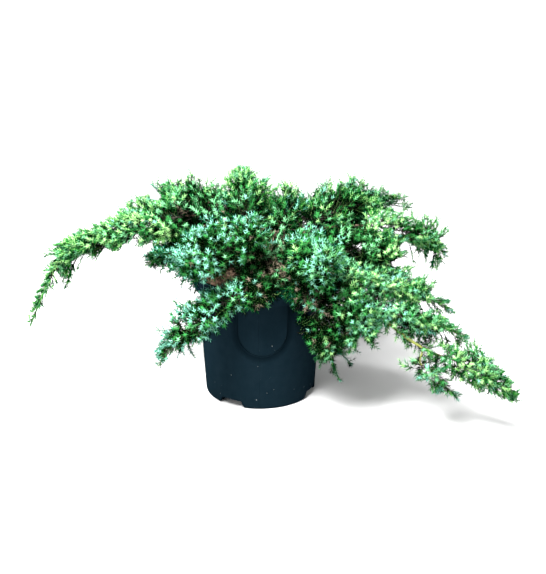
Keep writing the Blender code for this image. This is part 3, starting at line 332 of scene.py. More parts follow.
# Where the sky shows through the crown or ends it in the photograph's view: right and
# above the view's middle, and radius, in cm at the camera's distance
OPENINGS = (
    (28.4, -3.4, 0.8), (30.3, -3.2, 0.8), (31.8, -3.6, 0.6), (29.8, -11.9, 0.4), (31.5, -12.2, 0.8),
    (33.5, -18.5, 0.8), (-23.7, 7.2, 0.6), (45.4, -18.8, 0.6), (-37.3, 4.7, 0.6), (-35.6, 5.3, 0.8),
    (31.8, -8.9, 0.6), (33.7, -8.9, 0.6), (-19.0, -12.4, 0.8), (-18.8, -13.9, 0.8),
    (-22.8, 18.3, 0.8), (-21.8, 17.1, 0.6), (23.2, 4.7, 0.8), (24.5, 5.1, 0.6), (16.6, -10.4, 0.9),
    (-32.0, 13.0, 0.6), (-30.1, 14.3, 0.6), (-15.6, -11.1, 0.6), (-14.5, -11.5, 0.6),
    (32.0, -20.5, 0.6), (-41.6, 5.7, 0.4), (28.3, -18.3, 0.8), (10.0, -14.9, 0.8), (25.2, 7.9, 0.6),
    (26.6, 7.5, 0.4), (-26.2, 8.1, 0.6), (-31.5, 6.4, 0.8), (-27.9, 7.7, 0.4), (35.4, -18.3, 0.6),
    (36.9, -18.8, 0.6), (33.9, -3.4, 0.8), (16.2, 7.5, 0.6), (24.3, 7.5, 0.6), (23.7, 10.4, 0.6),
    (23.5, 14.9, 0.8), (1.3, 17.7, 0.6), (30.7, -1.1, 0.8), (7.3, 18.5, 0.6), (11.5, -13.8, 0.9),
    (12.4, -15.8, 0.8), (13.2, -13.6, 0.8), (32.2, 8.9, 0.6), (-44.1, -4.7, 0.6),
    (-16.8, -7.3, 0.6), (6.8, -4.7, 0.6), (7.0, -19.0, 0.9), (8.5, -14.5, 0.6), (-34.8, 11.5, 0.6),
    (-0.4, 19.8, 0.6), (12.6, -14.5, 0.8), (30.1, 6.2, 0.6), (31.6, -16.8, 0.4), (-42.0, -1.3, 0.6),
    (-42.8, -2.4, 0.4), (26.0, 5.5, 0.6), (26.9, -15.3, 0.6),
)
FLOOR_NEAR = 2.5            # half the side of the floor, inner and outer part
FLOOR_FAR = 30.0
OPENING_MARGIN = 0.0015     # kept free round them for needles

# Needle colours, upper face then lower face, linear light
# deep is painted half shade and shade is painted shade, near black; the lower faces are partly the real
# green under the glaucous upper face and partly painted shade, far darker than that green
NEEDLE_TINTS = (
    ("blue", (0.180, 0.475, 0.350), (0.002, 0.060, 0.030)),
    ("green", (0.152, 0.450, 0.200), (0.002, 0.055, 0.011)),
    ("fresh", (0.292, 0.565, 0.205), (0.011, 0.130, 0.014)),
    ("deep", (0.028, 0.180, 0.042), (0.001, 0.030, 0.005)),
    ("shade", (0.0003, 0.0055, 0.0010), (0.0001, 0.002, 0.0003)),
    ("dead", (0.185, 0.150, 0.108), (0.006, 0.004, 0.002)),
)
BLUE, GREEN, FRESH, DEEP, SHADE, DEAD = range(6)


def link(obj):
    bpy.context.scene.collection.objects.link(obj)
    return obj


def plain_material(name, colour, roughness, bump=0.0, scale=400.0, specular=0.5):
    material = bpy.data.materials.new(name)
    material.use_nodes = True
    nodes, links = material.node_tree.nodes, material.node_tree.links
    shader = nodes["Principled BSDF"]
    shader.inputs["Base Color"].default_value = (*colour, 1.0)
    shader.inputs["Roughness"].default_value = roughness
    shader.inputs["Specular IOR Level"].default_value = specular
    if bump:
        noise = nodes.new("ShaderNodeTexNoise")
        noise.inputs["Scale"].default_value = scale
        bumps = nodes.new("ShaderNodeBump")
        bumps.inputs["Strength"].default_value = bump
        bumps.inputs["Distance"].default_value = 0.0004
        links.new(noise.outputs["Fac"], bumps.inputs["Height"])
        links.new(bumps.outputs["Normal"], shader.inputs["Normal"])
    return material


def mixed_material(name, colours, scale, roughness, bump, detail=6.0, distance=0.001):
    material = plain_material(name, colours[0], roughness[0])
    nodes, links = material.node_tree.nodes, material.node_tree.links
    shader = nodes["Principled BSDF"]
    place = nodes.new("ShaderNodeTexCoord")
    noise = nodes.new("ShaderNodeTexNoise")
    noise.inputs["Scale"].default_value = scale
    noise.inputs["Detail"].default_value = detail
    links.new(place.outputs["Object"], noise.inputs["Vector"])
    ramp = nodes.new("ShaderNodeValToRGB")
    ramp.color_ramp.elements[0].position = 0.35
    ramp.color_ramp.elements[0].color = (*colours[0], 1)
    ramp.color_ramp.elements[1].position = 0.68
    ramp.color_ramp.elements[1].color = (*colours[1], 1)
    links.new(noise.outputs["Fac"], ramp.inputs["Fac"])
    links.new(ramp.outputs["Color"], shader.inputs["Base Color"])
    spread = nodes.new("ShaderNodeMapRange")
    spread.inputs["To Min"].default_value = roughness[0]
    spread.inputs["To Max"].default_value = roughness[1]
    links.new(noise.outputs["Fac"], spread.inputs["Value"])
    links.new(spread.outputs["Result"], shader.inputs["Roughness"])
    bumps = nodes.new("ShaderNodeBump")
    bumps.inputs["Strength"].default_value = bump
    bumps.inputs["Distance"].default_value = distance
    links.new(noise.outputs["Fac"], bumps.inputs["Height"])
    links.new(bumps.outputs["Normal"], shader.inputs["Normal"])
    return material


class Sums:
    """Math nodes of one material, joined as they are called for."""

    def __init__(self, material):
        self.nodes, self.links = material.node_tree.nodes, material.node_tree.links

    def __call__(self, operation, *values):
        node = self.nodes.new("ShaderNodeMath")
        node.operation = operation
        for socket, value in zip(node.inputs, values):
            if isinstance(value, (int, float)):
                socket.default_value = value
            else:
                self.links.new(value, socket)
        return node.outputs[0]


def mould_pot(material):
    """The soft groove round every panel and the seams of the mould, as relief, with the groove's colour
    darkened as painted shade.
    """
    sums = Sums(material)
    place = sums.nodes.new("ShaderNodeTexCoord")
    parts = sums.nodes.new("ShaderNodeSeparateXYZ")
    sums.links.new(place.outputs["Object"], parts.inputs[0])
    x, y, z = parts.outputs
    angle = sums("ARCTAN2", y, x)
    quarter = math.tau / PANEL_COUNT
    turn = sums("WRAP", sums("SUBTRACT", angle, math.radians(PANEL_BEARING)),
                quarter / 2, -quarter / 2)
    across = sums("MULTIPLY", turn, wall_radius(PANEL_BOTTOM + PANEL_WIDTH / 2))
    below = sums("MINIMUM", sums("SUBTRACT", z, PANEL_BOTTOM + PANEL_WIDTH / 2), 0.0)
    away = sums("SQRT", sums("ADD", sums("POWER", sums("ABSOLUTE", across), 2.0),
                             sums("POWER", sums("ABSOLUTE", below), 2.0)))
    inner = sums("SMOOTH_MIN", sums("DIVIDE", sums("SUBTRACT", away, PANEL_WIDTH / 2), 0.003), 1.0, 0.3)
    outer = sums("DIVIDE", sums("SUBTRACT", PANEL_WIDTH / 2 + GROOVE_WIDTH, away), GROOVE_WIDTH * 0.7)
    depth = sums("MAXIMUM", sums("SMOOTH_MIN", inner, outer, 0.5), 0.0)
    depth = sums("MULTIPLY", depth, sums("LESS_THAN", z, POT_HEIGHT - RIM_BAND))
    half = math.tau / 2
    seam = sums("WRAP", sums("SUBTRACT", angle, math.radians(SEAM_BEARING)), half / 2, -half / 2)
    seam = sums("SUBTRACT", 1.0, sums("DIVIDE", sums("ABSOLUTE", seam), SEAM_WIDTH))
    seam = sums("MULTIPLY", sums("MAXIMUM", seam, 0.0), 0.35)
    relief = sums("SUBTRACT", seam, depth)
    old = sums.nodes["Principled BSDF"].inputs["Normal"].links[0].from_node
    bumps = sums.nodes.new("ShaderNodeBump")
    bumps.inputs["Distance"].default_value = GROOVE_DEPTH
    sums.links.new(relief, bumps.inputs["Height"])
    sums.links.new(bumps.outputs["Normal"], old.inputs["Normal"])
    # Darken the colour in the groove: painted shade in the recess
    shader = sums.nodes["Principled BSDF"].inputs["Base Color"]
    mix = sums.nodes.new("ShaderNodeMix")
    mix.data_type = "RGBA"
    mix.blend_type = "MULTIPLY"
    sums.links.new(sums("MULTIPLY", depth, 0.8), mix.inputs["Factor"])
    sums.links.new(shader.links[0].from_socket, mix.inputs["A"])
    mix.inputs["B"].default_value = (0.35, 0.40, 0.42, 1.0)
    sums.links.new(mix.outputs["Result"], shader)


def polar(bearing, reach, height):
    angle = math.radians(bearing)
    return Vector((reach * math.cos(angle), reach * math.sin(angle), height))


def from_cm(place):
    bearing, reach, height = place
    return polar(bearing, reach / 100, height / 100)


def wall_radius(height):
    return BODY_BASE_RADIUS + BODY_SLOPE * height


class Limb:
    """A tapering round limb along a cubic curve, as in the solids."""

    def __init__(self, ends, handles, radii):
        self.start, self.end = ends
        self.first, self.second = handles
        self.radii = radii

    def point(self, t):
        u = 1 - t
        return (self.start * u ** 3 + self.first * 3 * u * u * t
                + self.second * 3 * u * t * t + self.end * t ** 3)

    def direction(self, t):
        u = 1 - t
        slope = ((self.first - self.start) * u * u + (self.second - self.first) * 2 * u * t
                 + (self.end - self.second) * t * t)
        return slope.normalized()


class Mass:
    """The space of one mass of foliage: a tapering, arched spindle round its stem."""

    def __init__(self, branch):
        self.branch = branch
        self.name = branch.name
        self.root = from_cm(branch.root)
        self.tip = from_cm(branch.tip)
        self.arch = branch.arch / 100
        self.closeness = CLOSENESS.get(branch.name, 1.0)
        self.length = (self.tip - self.root).length
        shares = np.linspace(0.0, 1.0, AXIS_SAMPLES)
        self.samples = np.array([self.point(share) for share in shares])
        self.girths = np.array([self.girth(share) for share in shares])

    def point(self, t):
        return self.root.lerp(self.tip, t) + Vector((0, 0, 4 * self.arch * t * (1 - t)))

    def direction(self, t):
        slope = self.tip - self.root + Vector((0, 0, 4 * self.arch * (1 - 2 * t)))
        return slope.normalized()

    def girth(self, t):
        return float(np.interp(t, (0.0, 0.5, 1.0), self.branch.girth)) / 100


def nearness(masses, points):
    """How far each point lies from each mass's stem, 1 being the edge of its space."""
    result = np.empty((len(points), len(masses)))
    for column, mass in enumerate(masses):
        offsets = points[:, None, :] - mass.samples[None]
        result[:, column] = (np.linalg.norm(offsets, axis=2) / mass.girths).min(axis=1)
    return result


def in_pot(points):
    radius = np.hypot(points[:, 0], points[:, 1])
    height = points[:, 2]
    wall = np.where(height > POT_HEIGHT - RIM_BAND - 0.004, RIM_RADIUS,
                    BODY_BASE_RADIUS + BODY_SLOPE * height)
    return (radius < wall + POT_CLEARANCE) & (height < POT_HEIGHT + POT_CLEARANCE)


def axes_across(directions):
    """Two unit vectors across each direction of an array."""
    helper = np.tile((0.0, 0.0, 1.0), (len(directions), 1))
    helper[np.abs(directions[:, 2]) > 0.9] = (1.0, 0.0, 0.0)
    side = np.cross(directions, helper)
    side /= np.linalg.norm(side, axis=1)[:, None]
    return side, np.cross(side, directions)


def mesh_piece(name, points, faces, materials, tints=None, smooth=False):
    mesh = bpy.data.meshes.new(name)
    mesh.vertices.add(len(points))
    mesh.vertices.foreach_set("co", np.asarray(points, dtype=np.float32).ravel())
    faces = np.asarray(faces, dtype=np.int32)
    width = faces.shape[1]
    mesh.loops.add(faces.size)
    mesh.loops.foreach_set("vertex_index", faces.ravel())
    mesh.polygons.add(len(faces))
    mesh.polygons.foreach_set("loop_start", np.arange(0, faces.size, width, dtype=np.int32))
    if tints is not None:
        mesh.polygons.foreach_set("material_index", np.asarray(tints, dtype=np.int32))
    if smooth:
        mesh.polygons.foreach_set("use_smooth", np.ones(len(faces), dtype=bool))
    mesh.update(calc_edges=True)
    for material in materials:
        mesh.materials.append(material)
    return link(bpy.data.objects.new(name, mesh))


def curve_points(roots, headings, bends, lengths, reach):
    """Points at a reach along curved twigs, which turn by their bend over their length."""
    turn = (reach ** 2 / (2 * lengths))[:, None]
    return roots + headings * reach[:, None] + bends * turn


def curve_headings(headings, bends, lengths, reach):
    result = headings + bends * (reach / lengths)[:, None]
    return result / np.linalg.norm(result, axis=1)[:, None]


def inside_space(masses, index, points, edges):
    mass = masses[index]
    near = nearness(masses, points)
    own = near[:, index]
    others = np.delete(near, index, axis=1).min(axis=1)
    beyond = (points - np.array(mass.tip)) @ np.array(mass.direction(1.0))
    inside = (own < edges) & (own < others + SPACE_MARGIN) & (beyond < TIP_OVERHANG)
    stray = edges >= STRAY_EDGE
    return (inside | stray) & (points[:, 2] > GROUND_CLEARANCE) & ~in_pot(points)


def room_along(masses, index, twigs, edges):
    """How far each twig may grow before it leaves the space of its mass."""
    roots, headings, bends, lengths = twigs
    room = np.zeros(len(roots))
    free = np.ones(len(roots), dtype=bool)
    for step in np.linspace(1 / ROOM_STEPS, 1.0, ROOM_STEPS):
        reach = lengths * step
        places = curve_points(roots, headings, bends, lengths, reach)
        free &= inside_space(masses, index, places, edges)
        room[free] = reach[free]
    return room


def unit(vectors):
    return vectors / np.linalg.norm(vectors, axis=1)[:, None]


def spread_round(axes, leans, rolls):
    """Directions that lean away from their axes, rolled round them."""
    side, across = axes_across(axes)
    outward = side * np.cos(rolls)[:, None] + across * np.sin(rolls)[:, None]
    return axes * np.cos(leans)[:, None] + outward * np.sin(leans)[:, None]


def patchiness(points):
    """A slow wave through space, from -1 to 1, that parts the foliage into sprays."""
    x, y, z = (points * (math.tau / PATCH_SIZE)).T
    return (np.sin(x + 2.1 * np.sin(0.7 * y)) + np.sin(y + 1.3 + 1.9 * np.sin(0.8 * z))
            + np.sin(z + 0.6 + 1.6 * np.sin(0.9 * x))) / 3


def grow_twigs(masses, index, rng):
    """The side twigs of a mass, clipped to its space."""
    mass = masses[index]
    spacing = SIDE_SPACING / (DENSE_GROWTH if mass.name in DENSE else 1.0)
    count = int(mass.length / spacing)
    number = np.arange(count)
    t = 0.01 + 0.97 * (number + rng.uniform(0, 1, count)) / count
    axes = np.array([mass.direction(share) for share in t])
    roots = np.array([mass.point(share) for share in t])
    girths = np.interp(t, (0.0, 0.5, 1.0), mass.branch.girth) / 100
    leans = np.radians(np.interp(t, (0.0, 0.12, 1.0), (104, 66, 30)) + rng.uniform(-12, 12, count))
    leans *= 1 - (1 - mass.closeness) * np.minimum(1.0, 2 * t)
    headings = spread_round(axes, leans, number * GOLDEN_ANGLE + rng.uniform(-0.5, 0.5, count))
    headings[:, 2] += rng.uniform(-0.05, 0.15, count)
    headings = unit(headings)
    bends = axes * rng.uniform(0.1, 0.5, count)[:, None]
    bends[:, 2] += rng.uniform(-0.1, 0.45, count)
    lengths = (girths - NEEDLE_ROOM) / np.sin(np.clip(leans, 0.5, 1.6)) * rng.uniform(0.85, 1.2, count)
    low, high = EDGE_SPREAD
    edges = (1 - NEEDLE_ROOM / girths) * (high - (high - low) * rng.uniform(0, 1, count) ** 1.5)
    room = room_along(masses, index, (roots, headings, bends, lengths), edges)
    reach = room
    for part in (1.0, 0.8, 0.6):
        hit = in_openings(curve_points(roots, headings, bends, lengths, reach * part))
        room = np.where(hit, np.minimum(room, reach * (part - 0.1)), room)
    keep = room > SHORTEST_TWIG
    twigs = [array[keep] for array in (roots, headings, bends, lengths, room, edges)]
    if mass.name in STRAYS:
        added = stray_twigs(mass)
        twigs = [np.concatenate(pair) for pair in zip(twigs, added)]
    return twigs


def in_openings(points):
    """Which points lie before or behind one of the openings, seen from the camera."""
    right = Vector((1, 0, 0))
    back = Vector((0, -math.cos(CAMERA_ELEVATION), math.sin(CAMERA_ELEVATION)))
    offsets = points - np.array(AIM + back * CAMERA_DISTANCE)
    scale = CAMERA_DISTANCE / (offsets @ np.array(-back))
    across = (offsets @ np.array(right)) * scale
    above = (offsets @ np.array(back.cross(right))) * scale
    result = np.zeros(len(points), dtype=bool)
    for x, y, radius in OPENINGS:
        result |= np.hypot(across - x / 100, above - y / 100) < radius / 100 + OPENING_MARGIN
    return result


def stray_twigs(mass):
    """The long shoots that stand clear of a mass, curving from its stem to their tips."""
    roots = np.array([mass.point(share) for share, tip in STRAYS[mass.name]])
    tips = np.array([from_cm(tip) for share, tip in STRAYS[mass.name]])
    axes = np.array([mass.direction(share) for share, tip in STRAYS[mass.name]])
    lengths = np.linalg.norm(tips - roots, axis=1)
    straight = (tips - roots) / lengths[:, None]
    headings = unit(straight + 0.4 * axes)
    bends = 2 * (straight - headings)
    return roots, headings, bends, lengths, lengths, np.full(len(roots), STRAY_EDGE)


def grow_shoots(masses, index, twigs, rng):
    """Shoots along every side twig, clipped to the mass's space."""
    roots, headings, bends, lengths, room, edges = twigs
    first = np.minimum(room * 0.15, 0.010)
    counts = np.maximum(1, ((room - first) / SHOOT_SPACING).astype(int))
    twig = np.repeat(np.arange(len(roots)), counts)
    number = np.arange(len(twig)) - np.repeat(np.cumsum(counts) - counts, counts)
    share = (number + rng.uniform(0.1, 0.9, len(twig))) / counts[twig]
    reach = first[twig] + (room[twig] - first[twig]) * share
    bases = curve_points(roots[twig], headings[twig], bends[twig], lengths[twig], reach)
    axes = curve_headings(headings[twig], bends[twig], lengths[twig], reach)
    leans = np.radians(rng.uniform(34, 58, len(twig))) * masses[index].closeness
    rolls = number * GOLDEN_ANGLE + rng.uniform(0, math.tau, len(roots))[twig]
    ways = spread_round(axes, leans, rolls)
    ways[:, 2] += rng.uniform(0.0, 0.25, len(twig))
    ways = unit(ways)
    curls = axes * rng.uniform(0.0, 0.4, len(twig))[:, None]
    curls[:, 2] += rng.uniform(0.0, 0.35, len(twig))
    longest = SHOOT_LENGTH[1] * (1 - 0.35 * share)
    spans = rng.uniform(SHOOT_LENGTH[0], longest)
    spans = spans * np.where(edges[twig] >= STRAY_EDGE, STRAY_SHOOTS, 1.0)
    clear = room_along(masses, index, (bases, ways, curls, spans), edges[twig])
    hollow = (patchiness(bases) < HOLLOW_LEVEL) & (edges[twig] < STRAY_EDGE)
    hollow &= nearness(masses, bases)[:, index] > HOLLOW_DEPTH
    hollow &= masses[index].name not in DENSE
    open_sky = np.zeros(len(bases), dtype=bool)
    for part in (0.4, 0.7, 1.0):
        open_sky |= in_openings(curve_points(bases, ways, curls, spans, clear * part))
    keep = (clear > SHORTEST_SHOOT) & ~hollow & ~open_sky
    return [array[keep] for array in (bases, ways, curls, spans, clear, share, twig)]


def needle_arrays(starts, headings, bends, lengths, reach, bare, tints, closeness, rng):
    """Spiky needles in whorls of three along every shoot, three faces to a needle."""
    whorls = np.maximum(2, ((reach - bare) / WHORL_SPACING).astype(int))
    shoot = np.repeat(np.arange(len(starts)), whorls)
    number = np.arange(len(shoot)) - np.repeat(np.cumsum(whorls) - whorls, whorls)
    share = (number + 0.7) / whorls[shoot]
    along = bare[shoot] + (reach - bare)[shoot] * share
    place = curve_points(starts[shoot], headings[shoot], bends[shoot], lengths[shoot], along)
    axes = curve_headings(headings[shoot], bends[shoot], lengths[shoot], along)
    side, across = axes_across(axes)
    points, faces, kinds = [], [], []
    total = 0
    old_shaded_share = OLD_SHADED_SHARE * closeness ** 2
    for k in range(3):
        turn = math.tau * k / 3 + number * (math.pi / 3) + rng.normal(0, 0.2, len(shoot))
        outward = side * np.cos(turn)[:, None] + across * np.sin(turn)[:, None]
        round_way = np.cross(axes, outward)
        lean = np.radians(58 - 24 * share ** 2 + rng.normal(0, 7, len(shoot))) * closeness
        ahead = axes * np.cos(lean)[:, None] + outward * np.sin(lean)[:, None]
        back = axes * -np.sin(lean)[:, None] + outward * np.cos(lean)[:, None]
        size = NEEDLE_LENGTH * (1 - 0.3 * share ** 2) * rng.uniform(0.8, 1.1, len(shoot))
        half = NEEDLE_WIDTH / 2 * (1 - 0.15 * share)
        corner_a = place + round_way * half[:, None] - back * (half * 0.4)[:, None]
        corner_b = place - round_way * half[:, None] - back * (half * 0.4)[:, None]
        keel = place + back * (half * 0.7)[:, None]
        tip = place + ahead * size[:, None]
        block = np.stack([corner_a, corner_b, keel, tip], axis=1).reshape(-1, 3)
        base = total + 4 * np.arange(len(shoot))[:, None]
        points.append(block)
        faces.append(np.concatenate([base + (0, 1, 3), base + (1, 2, 3), base + (2, 0, 3)]))
        tint = tints[shoot]
        # Deep green above each shoot's base and near black at it: painted shade inside the shoot
        tint = np.where((share < old_shaded_share + DEEP_SHARE) & (tint < DEEP), DEEP, tint)
        dim = np.where(tint == DEAD, rng.uniform(0, 1, len(shoot)) < DEAD_GAPS, share < old_shaded_share)
        upper = np.where(dim, SHADE, tint) * 2
        # The two keel faces take the lower colour: partly the real green, partly painted shade
        kinds.append(np.concatenate([upper, upper + 1, upper + 1]))
        total += len(block)
    return np.concatenate(points), np.concatenate(faces), np.concatenate(kinds)


def prism_arrays(starts, ends, radii_start, radii_end):
    """Three-sided tapering twigs."""
    along = unit(ends - starts)
    side, across = axes_across(along)
    points = []
    for place, radius in ((starts, radii_start), (ends, radii_end)):
        for k in range(3):
            turn = math.tau * k / 3
            spoke = side * math.cos(turn) + across * math.sin(turn)
            points.append(place + spoke * radius[:, None])
    block = np.stack(points, axis=1).reshape(-1, 3)
    base = 6 * np.arange(len(starts))[:, None]
    faces = [base + (a, (a + 1) % 3, 3 + (a + 1) % 3) for a in range(3)]
    faces += [base + (a, 3 + (a + 1) % 3, 3 + a) for a in range(3)]
    return block, np.concatenate(faces)


def choose_tints(mass, near, shoots, rng):
    """A colour class for every shoot: by spray, fresh towards the tips, with painted shade (deep green
    and near black) inside the mass, under its stem and between sprays.
    """
    bases, ways, curls, spans, clear, share, twig = shoots
    blue, green, fresh, dead = mass.branch.look
    count = len(bases)
    spray = rng.uniform(0, 1, twig.max() + 1)[twig]
    draw = 0.7 * spray + 0.3 * rng.uniform(0, 1, count)
    order = np.argsort(np.argsort(draw)) / count
    live = blue + green + fresh
    tints = np.select([order < blue, order < live, order < live + dead], [BLUE, GREEN, DEAD], SHADE)
    outer = (near > 0.7) | (share > 0.6)
    fresh_spray = rng.uniform(0, 1, twig.max() + 1)[twig] < fresh * 1.5
    turned_fresh = outer & fresh_spray & (rng.uniform(0, 1, count) < 0.8) & (tints < DEEP)
    tints = np.where(turned_fresh, FRESH, tints)
    inner = rng.uniform(0, 1, count)
    reach = np.array(mass.tip - mass.root)
    along = np.clip((bases - np.array(mass.root)) @ reach / mass.length ** 2, 0.0, 1.0)
    under = np.array([mass.point(place).z for place in along]) - bases[:, 2]
    # The computed light paints shade: darker inside the mass, under its stem and in the troughs of the
    # patch wave, and painted light towards the tips
    light = near + 0.5 * patchiness(bases) - 7.0 * under + 0.25 * (inner - 0.5)
    light = light + 2.5 * np.maximum(along - 0.7, 0.0) + 0.07
    lit = LIT_LEVELS.get(mass.name, LIT_LEVEL)
    low, high = DEEP_BAND
    tints = np.where((light < lit + high) & (tints < DEEP), DEEP, tints)
    tints = np.where((light < lit + low) & (tints != DEAD), SHADE, tints)
    return np.where((near < 0.3) & (inner < 0.15), DEAD, tints)


def dress_mass(masses, index, needle_materials, twig_materials):
    mass = masses[index]
    rng = np.random.default_rng(SEED + index)
    twigs = grow_twigs(masses, index, rng)
    shoots = grow_shoots(masses, index, twigs, rng)
    bases, ways, curls, spans, clear, share, twig = shoots
    roots, headings, bends, lengths, room, edges = twigs
    ends = curve_points(bases, ways, curls, spans, clear)
    near = nearness(masses, ends)[:, index]
    tints = choose_tints(mass, near, shoots, rng)
    twig_ends = curve_points(roots, headings, bends, lengths, room)
    twig_near = nearness(masses, twig_ends)[:, index]
    ones = np.ones(len(roots))
    twig_tints = choose_tints(mass, twig_near, (roots, 0, 0, 0, 0, ones, np.arange(len(roots))), rng)
    tip = np.array([mass.direction(1.0)])
    leader = min(mass.length * 0.6, 0.06) / mass.closeness
    starts = np.concatenate([bases, roots, np.array([mass.tip]) - tip * leader])
    points, faces, kinds = needle_arrays(
        starts, np.concatenate([ways, headings, tip]), np.concatenate([curls, bends, tip * 0]),
        np.concatenate([spans, lengths, [leader]]), np.concatenate([clear, room, [leader]]),
        np.concatenate([clear * 0.05, room * 0.45, [0.0]]),
        np.concatenate([tints, twig_tints, [FRESH]]), mass.closeness, rng)
    needles = mesh_piece("needles_" + mass.name, points, faces, needle_materials, kinds)
    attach(needles, "root")
    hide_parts("foliage_" + mass.name)

    t = np.linspace(0, 1, 16)
    line = np.array([mass.point(share) for share in t])
    begin, end, thick, thin, kinds = [line[:-1]], [line[1:]], [], [], [np.zeros(15, dtype=int)]
    stem = TWIG_RADIUS * (1.15 - 0.75 * t)
    thick.append(stem[:-1])
    thin.append(stem[1:])
    middle = curve_points(roots, headings, bends, lengths, room * 0.5)
    far = curve_points(roots, headings, bends, lengths, room)
    begin += [roots, middle, bases]
    end += [middle, far, ends]
    thick += [np.full(len(far), 0.0010), np.full(len(far), 0.00075), np.full(len(ends), 0.0006)]
    thin += [np.full(len(far), 0.00075), np.full(len(far), 0.0004), np.full(len(ends), 0.0003)]
    kinds += [np.zeros(2 * len(far), dtype=int), np.ones(len(ends), dtype=int)]
    points, faces = prism_arrays(*[np.concatenate(part) for part in (begin, end, thick, thin)])
    wood = mesh_piece("twigs_" + mass.name, points, faces, twig_materials,
                      np.tile(np.concatenate(kinds), 6))
    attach(wood, "root")


def dress_boughs(masses, limbs, needle_materials, twig_materials):
    """Old shoots along the boughs: dead round the trunk, the others mostly near black, as painted
    shade, round the trunk and within the foliage.
    """
    rng = np.random.default_rng(SEED + len(masses))
    starts, axes, young, clothed = [], [], [], []
    for name, limb in limbs.items():
        span = (limb.end - limb.start).length
        spacing = CLOTHED_SPACING if name in CLOTHED else OLD_SPACING
        places = list(rng.uniform(0.04, 1.0, int(span / spacing)))
        youth, spacing = YOUNG.get(name, (1.0, 1.0))
        fresh = list(rng.uniform(youth, 1.0, int(span * (1 - youth) / spacing)))
        young += [False] * len(places) + [True] * len(fresh)
        clothed += [name in CLOTHED] * len(places + fresh)
        for t in places + fresh:
            starts.append(limb.point(t))
            axes.append(limb.direction(t))
    starts, axes, young = np.array(starts), np.array(axes), np.array(young)
    clothed = np.array(clothed)
    count = len(starts)
    leans = np.where(young, rng.uniform(35, 60, count), rng.uniform(40, 95, count))
    headings = spread_round(axes, np.radians(leans), rng.uniform(0, math.tau, count))
    lengths = np.where(young, rng.uniform(*YOUNG_LENGTH, count), rng.uniform(*OLD_LENGTH, count))
    lengths = np.where(clothed & ~young, lengths * CLOTHED_REACH, lengths)
    bends = rng.normal(0, 0.25, (count, 3))
    ends = curve_points(starts, headings, bends, lengths, lengths)
    inner = (np.hypot(ends[:, 0], ends[:, 1]) / DOME_RADIUS) ** 2
    inner = inner + ((ends[:, 2] - DOME_BASE) / DOME_HEIGHT) ** 2 < 1
    covered = nearness(masses, ends).min(axis=1) < 0.8
    keep = (inner | covered | young | clothed) & ~in_pot(ends) & ~in_pot(starts * 0.4 + ends * 0.6)
    keep &= ~in_openings(ends) & ~in_openings(starts * 0.5 + ends * 0.5)
    luck = rng.uniform(0, 1, count)
    bearings = np.degrees(np.arctan2(ends[:, 1], ends[:, 0]))
    dead = np.where((bearings > DEAD_SECTOR[0]) & (bearings < DEAD_SECTOR[1]), 0.62, 0.10)
    # Most live old shoots get the near-black shade tint: painted shade
    tints = np.where((inner | clothed) & (luck < dead), DEAD, np.where(luck < 0.75, SHADE, GREEN))
    tints = np.where(young, np.where(luck < 0.6, GREEN, FRESH), tints)
    starts, headings, bends, lengths, ends, tints = [
        array[keep] for array in (starts, headings, bends, lengths, ends, tints)]
    points, faces, kinds = needle_arrays(starts, headings, bends, lengths, lengths,
                                         lengths * 0.1, tints, 1.0, rng)
    needles = mesh_piece("needles_inner", points, faces, needle_materials, kinds)
    points, faces = prism_arrays(starts, ends, np.full(len(ends), 0.0008),
                                 np.full(len(ends), 0.0004))
    wood = mesh_piece("twigs_inner", points, faces, twig_materials)
    for piece, slot in ((needles, "foliage"), (wood, "bark")):
        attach(piece, "root")


def tube(points, radii, sides, relief, seed):
    """A round limb with flaking bark: raised and sunk strips along it."""
    points = np.asarray(points)
    along = np.gradient(points, axis=0)
    along /= np.linalg.norm(along, axis=1)[:, None]
    side = np.cross(along, (0.0, 0.0, 1.0))
    side /= np.maximum(np.linalg.norm(side, axis=1), 1e-6)[:, None]
    across = np.cross(side, along)
    turns = math.tau * np.arange(sides) / sides
    rng = np.random.default_rng(seed)
    strips = rng.uniform(-1, 1, (len(points) // 6 + 2, sides))
    rows = np.linspace(0, len(strips) - 1.001, len(points))
    low = rows.astype(int)
    blend = (rows - low)[:, None]
    bark = strips[low] * (1 - blend) + strips[low + 1] * blend
    bark = bark + 0.5 * rng.uniform(-1, 1, (len(points), sides))
    radius = np.asarray(radii)[:, None] * (1 + relief * bark)
    grid = (points[:, None] + side[:, None] * (np.cos(turns)[None] * radius)[..., None]
            + across[:, None] * (np.sin(turns)[None] * radius)[..., None])
    count = len(points)
    faces = []
    for row in range(count - 1):
        for k in range(sides):
            after = (k + 1) % sides
            faces.append((row * sides + k, row * sides + after,
                          (row + 1) * sides + after, (row + 1) * sides + k))
    return grid.reshape(-1, 3), np.array(faces)


def stem_point(share):
    return Vector((STEM_LEAN[0] * share, STEM_LEAN[1] * share,
                   SOIL_TOP + (STEM_TOP - SOIL_TOP) * share))


def make_limb(branch, mass, limbs, by_name):
    end = mass.root
    tail = mass.direction(0.0)
    rise = RISE_TO_CLEAR_RIM * max(0.0, POT_HEIGHT + 0.03 - end.z)
    share = 0.36
    radii = (branch.thick / 1000, max(branch.thick * 0.5, 1.5) / 1000)
    if branch.parent == "left_arm_end":
        arm = by_name["left_arm"]
        lead = arm.direction(1.0)
        start = arm.tip + lead * GAP
        share = 0.4
        radii = (0.0021, 0.0019)
    elif branch.parent == "stem":
        start = stem_point(branch.share)
        outward = Vector((end.x - start.x, end.y - start.y, 0.0)).normalized()
        lead = (outward + Vector((0, 0, BOUGH_RISE + rise))).normalized()
    elif branch.parent == "stem_top":
        start = stem_point(1.0) + Vector((0, 0, GAP))
        lead = Vector((0, 0, 1))
    else:
        parent = limbs[branch.parent]
        start = parent.point(branch.share)
        lead = (parent.direction(branch.share) + (end - start).normalized() * 1.6
                + Vector((0, 0, rise))).normalized()
    reach = (end - start).length
    handles = (start + lead * reach * share, end - tail * reach * share)
    return Limb((start, end), handles, radii)


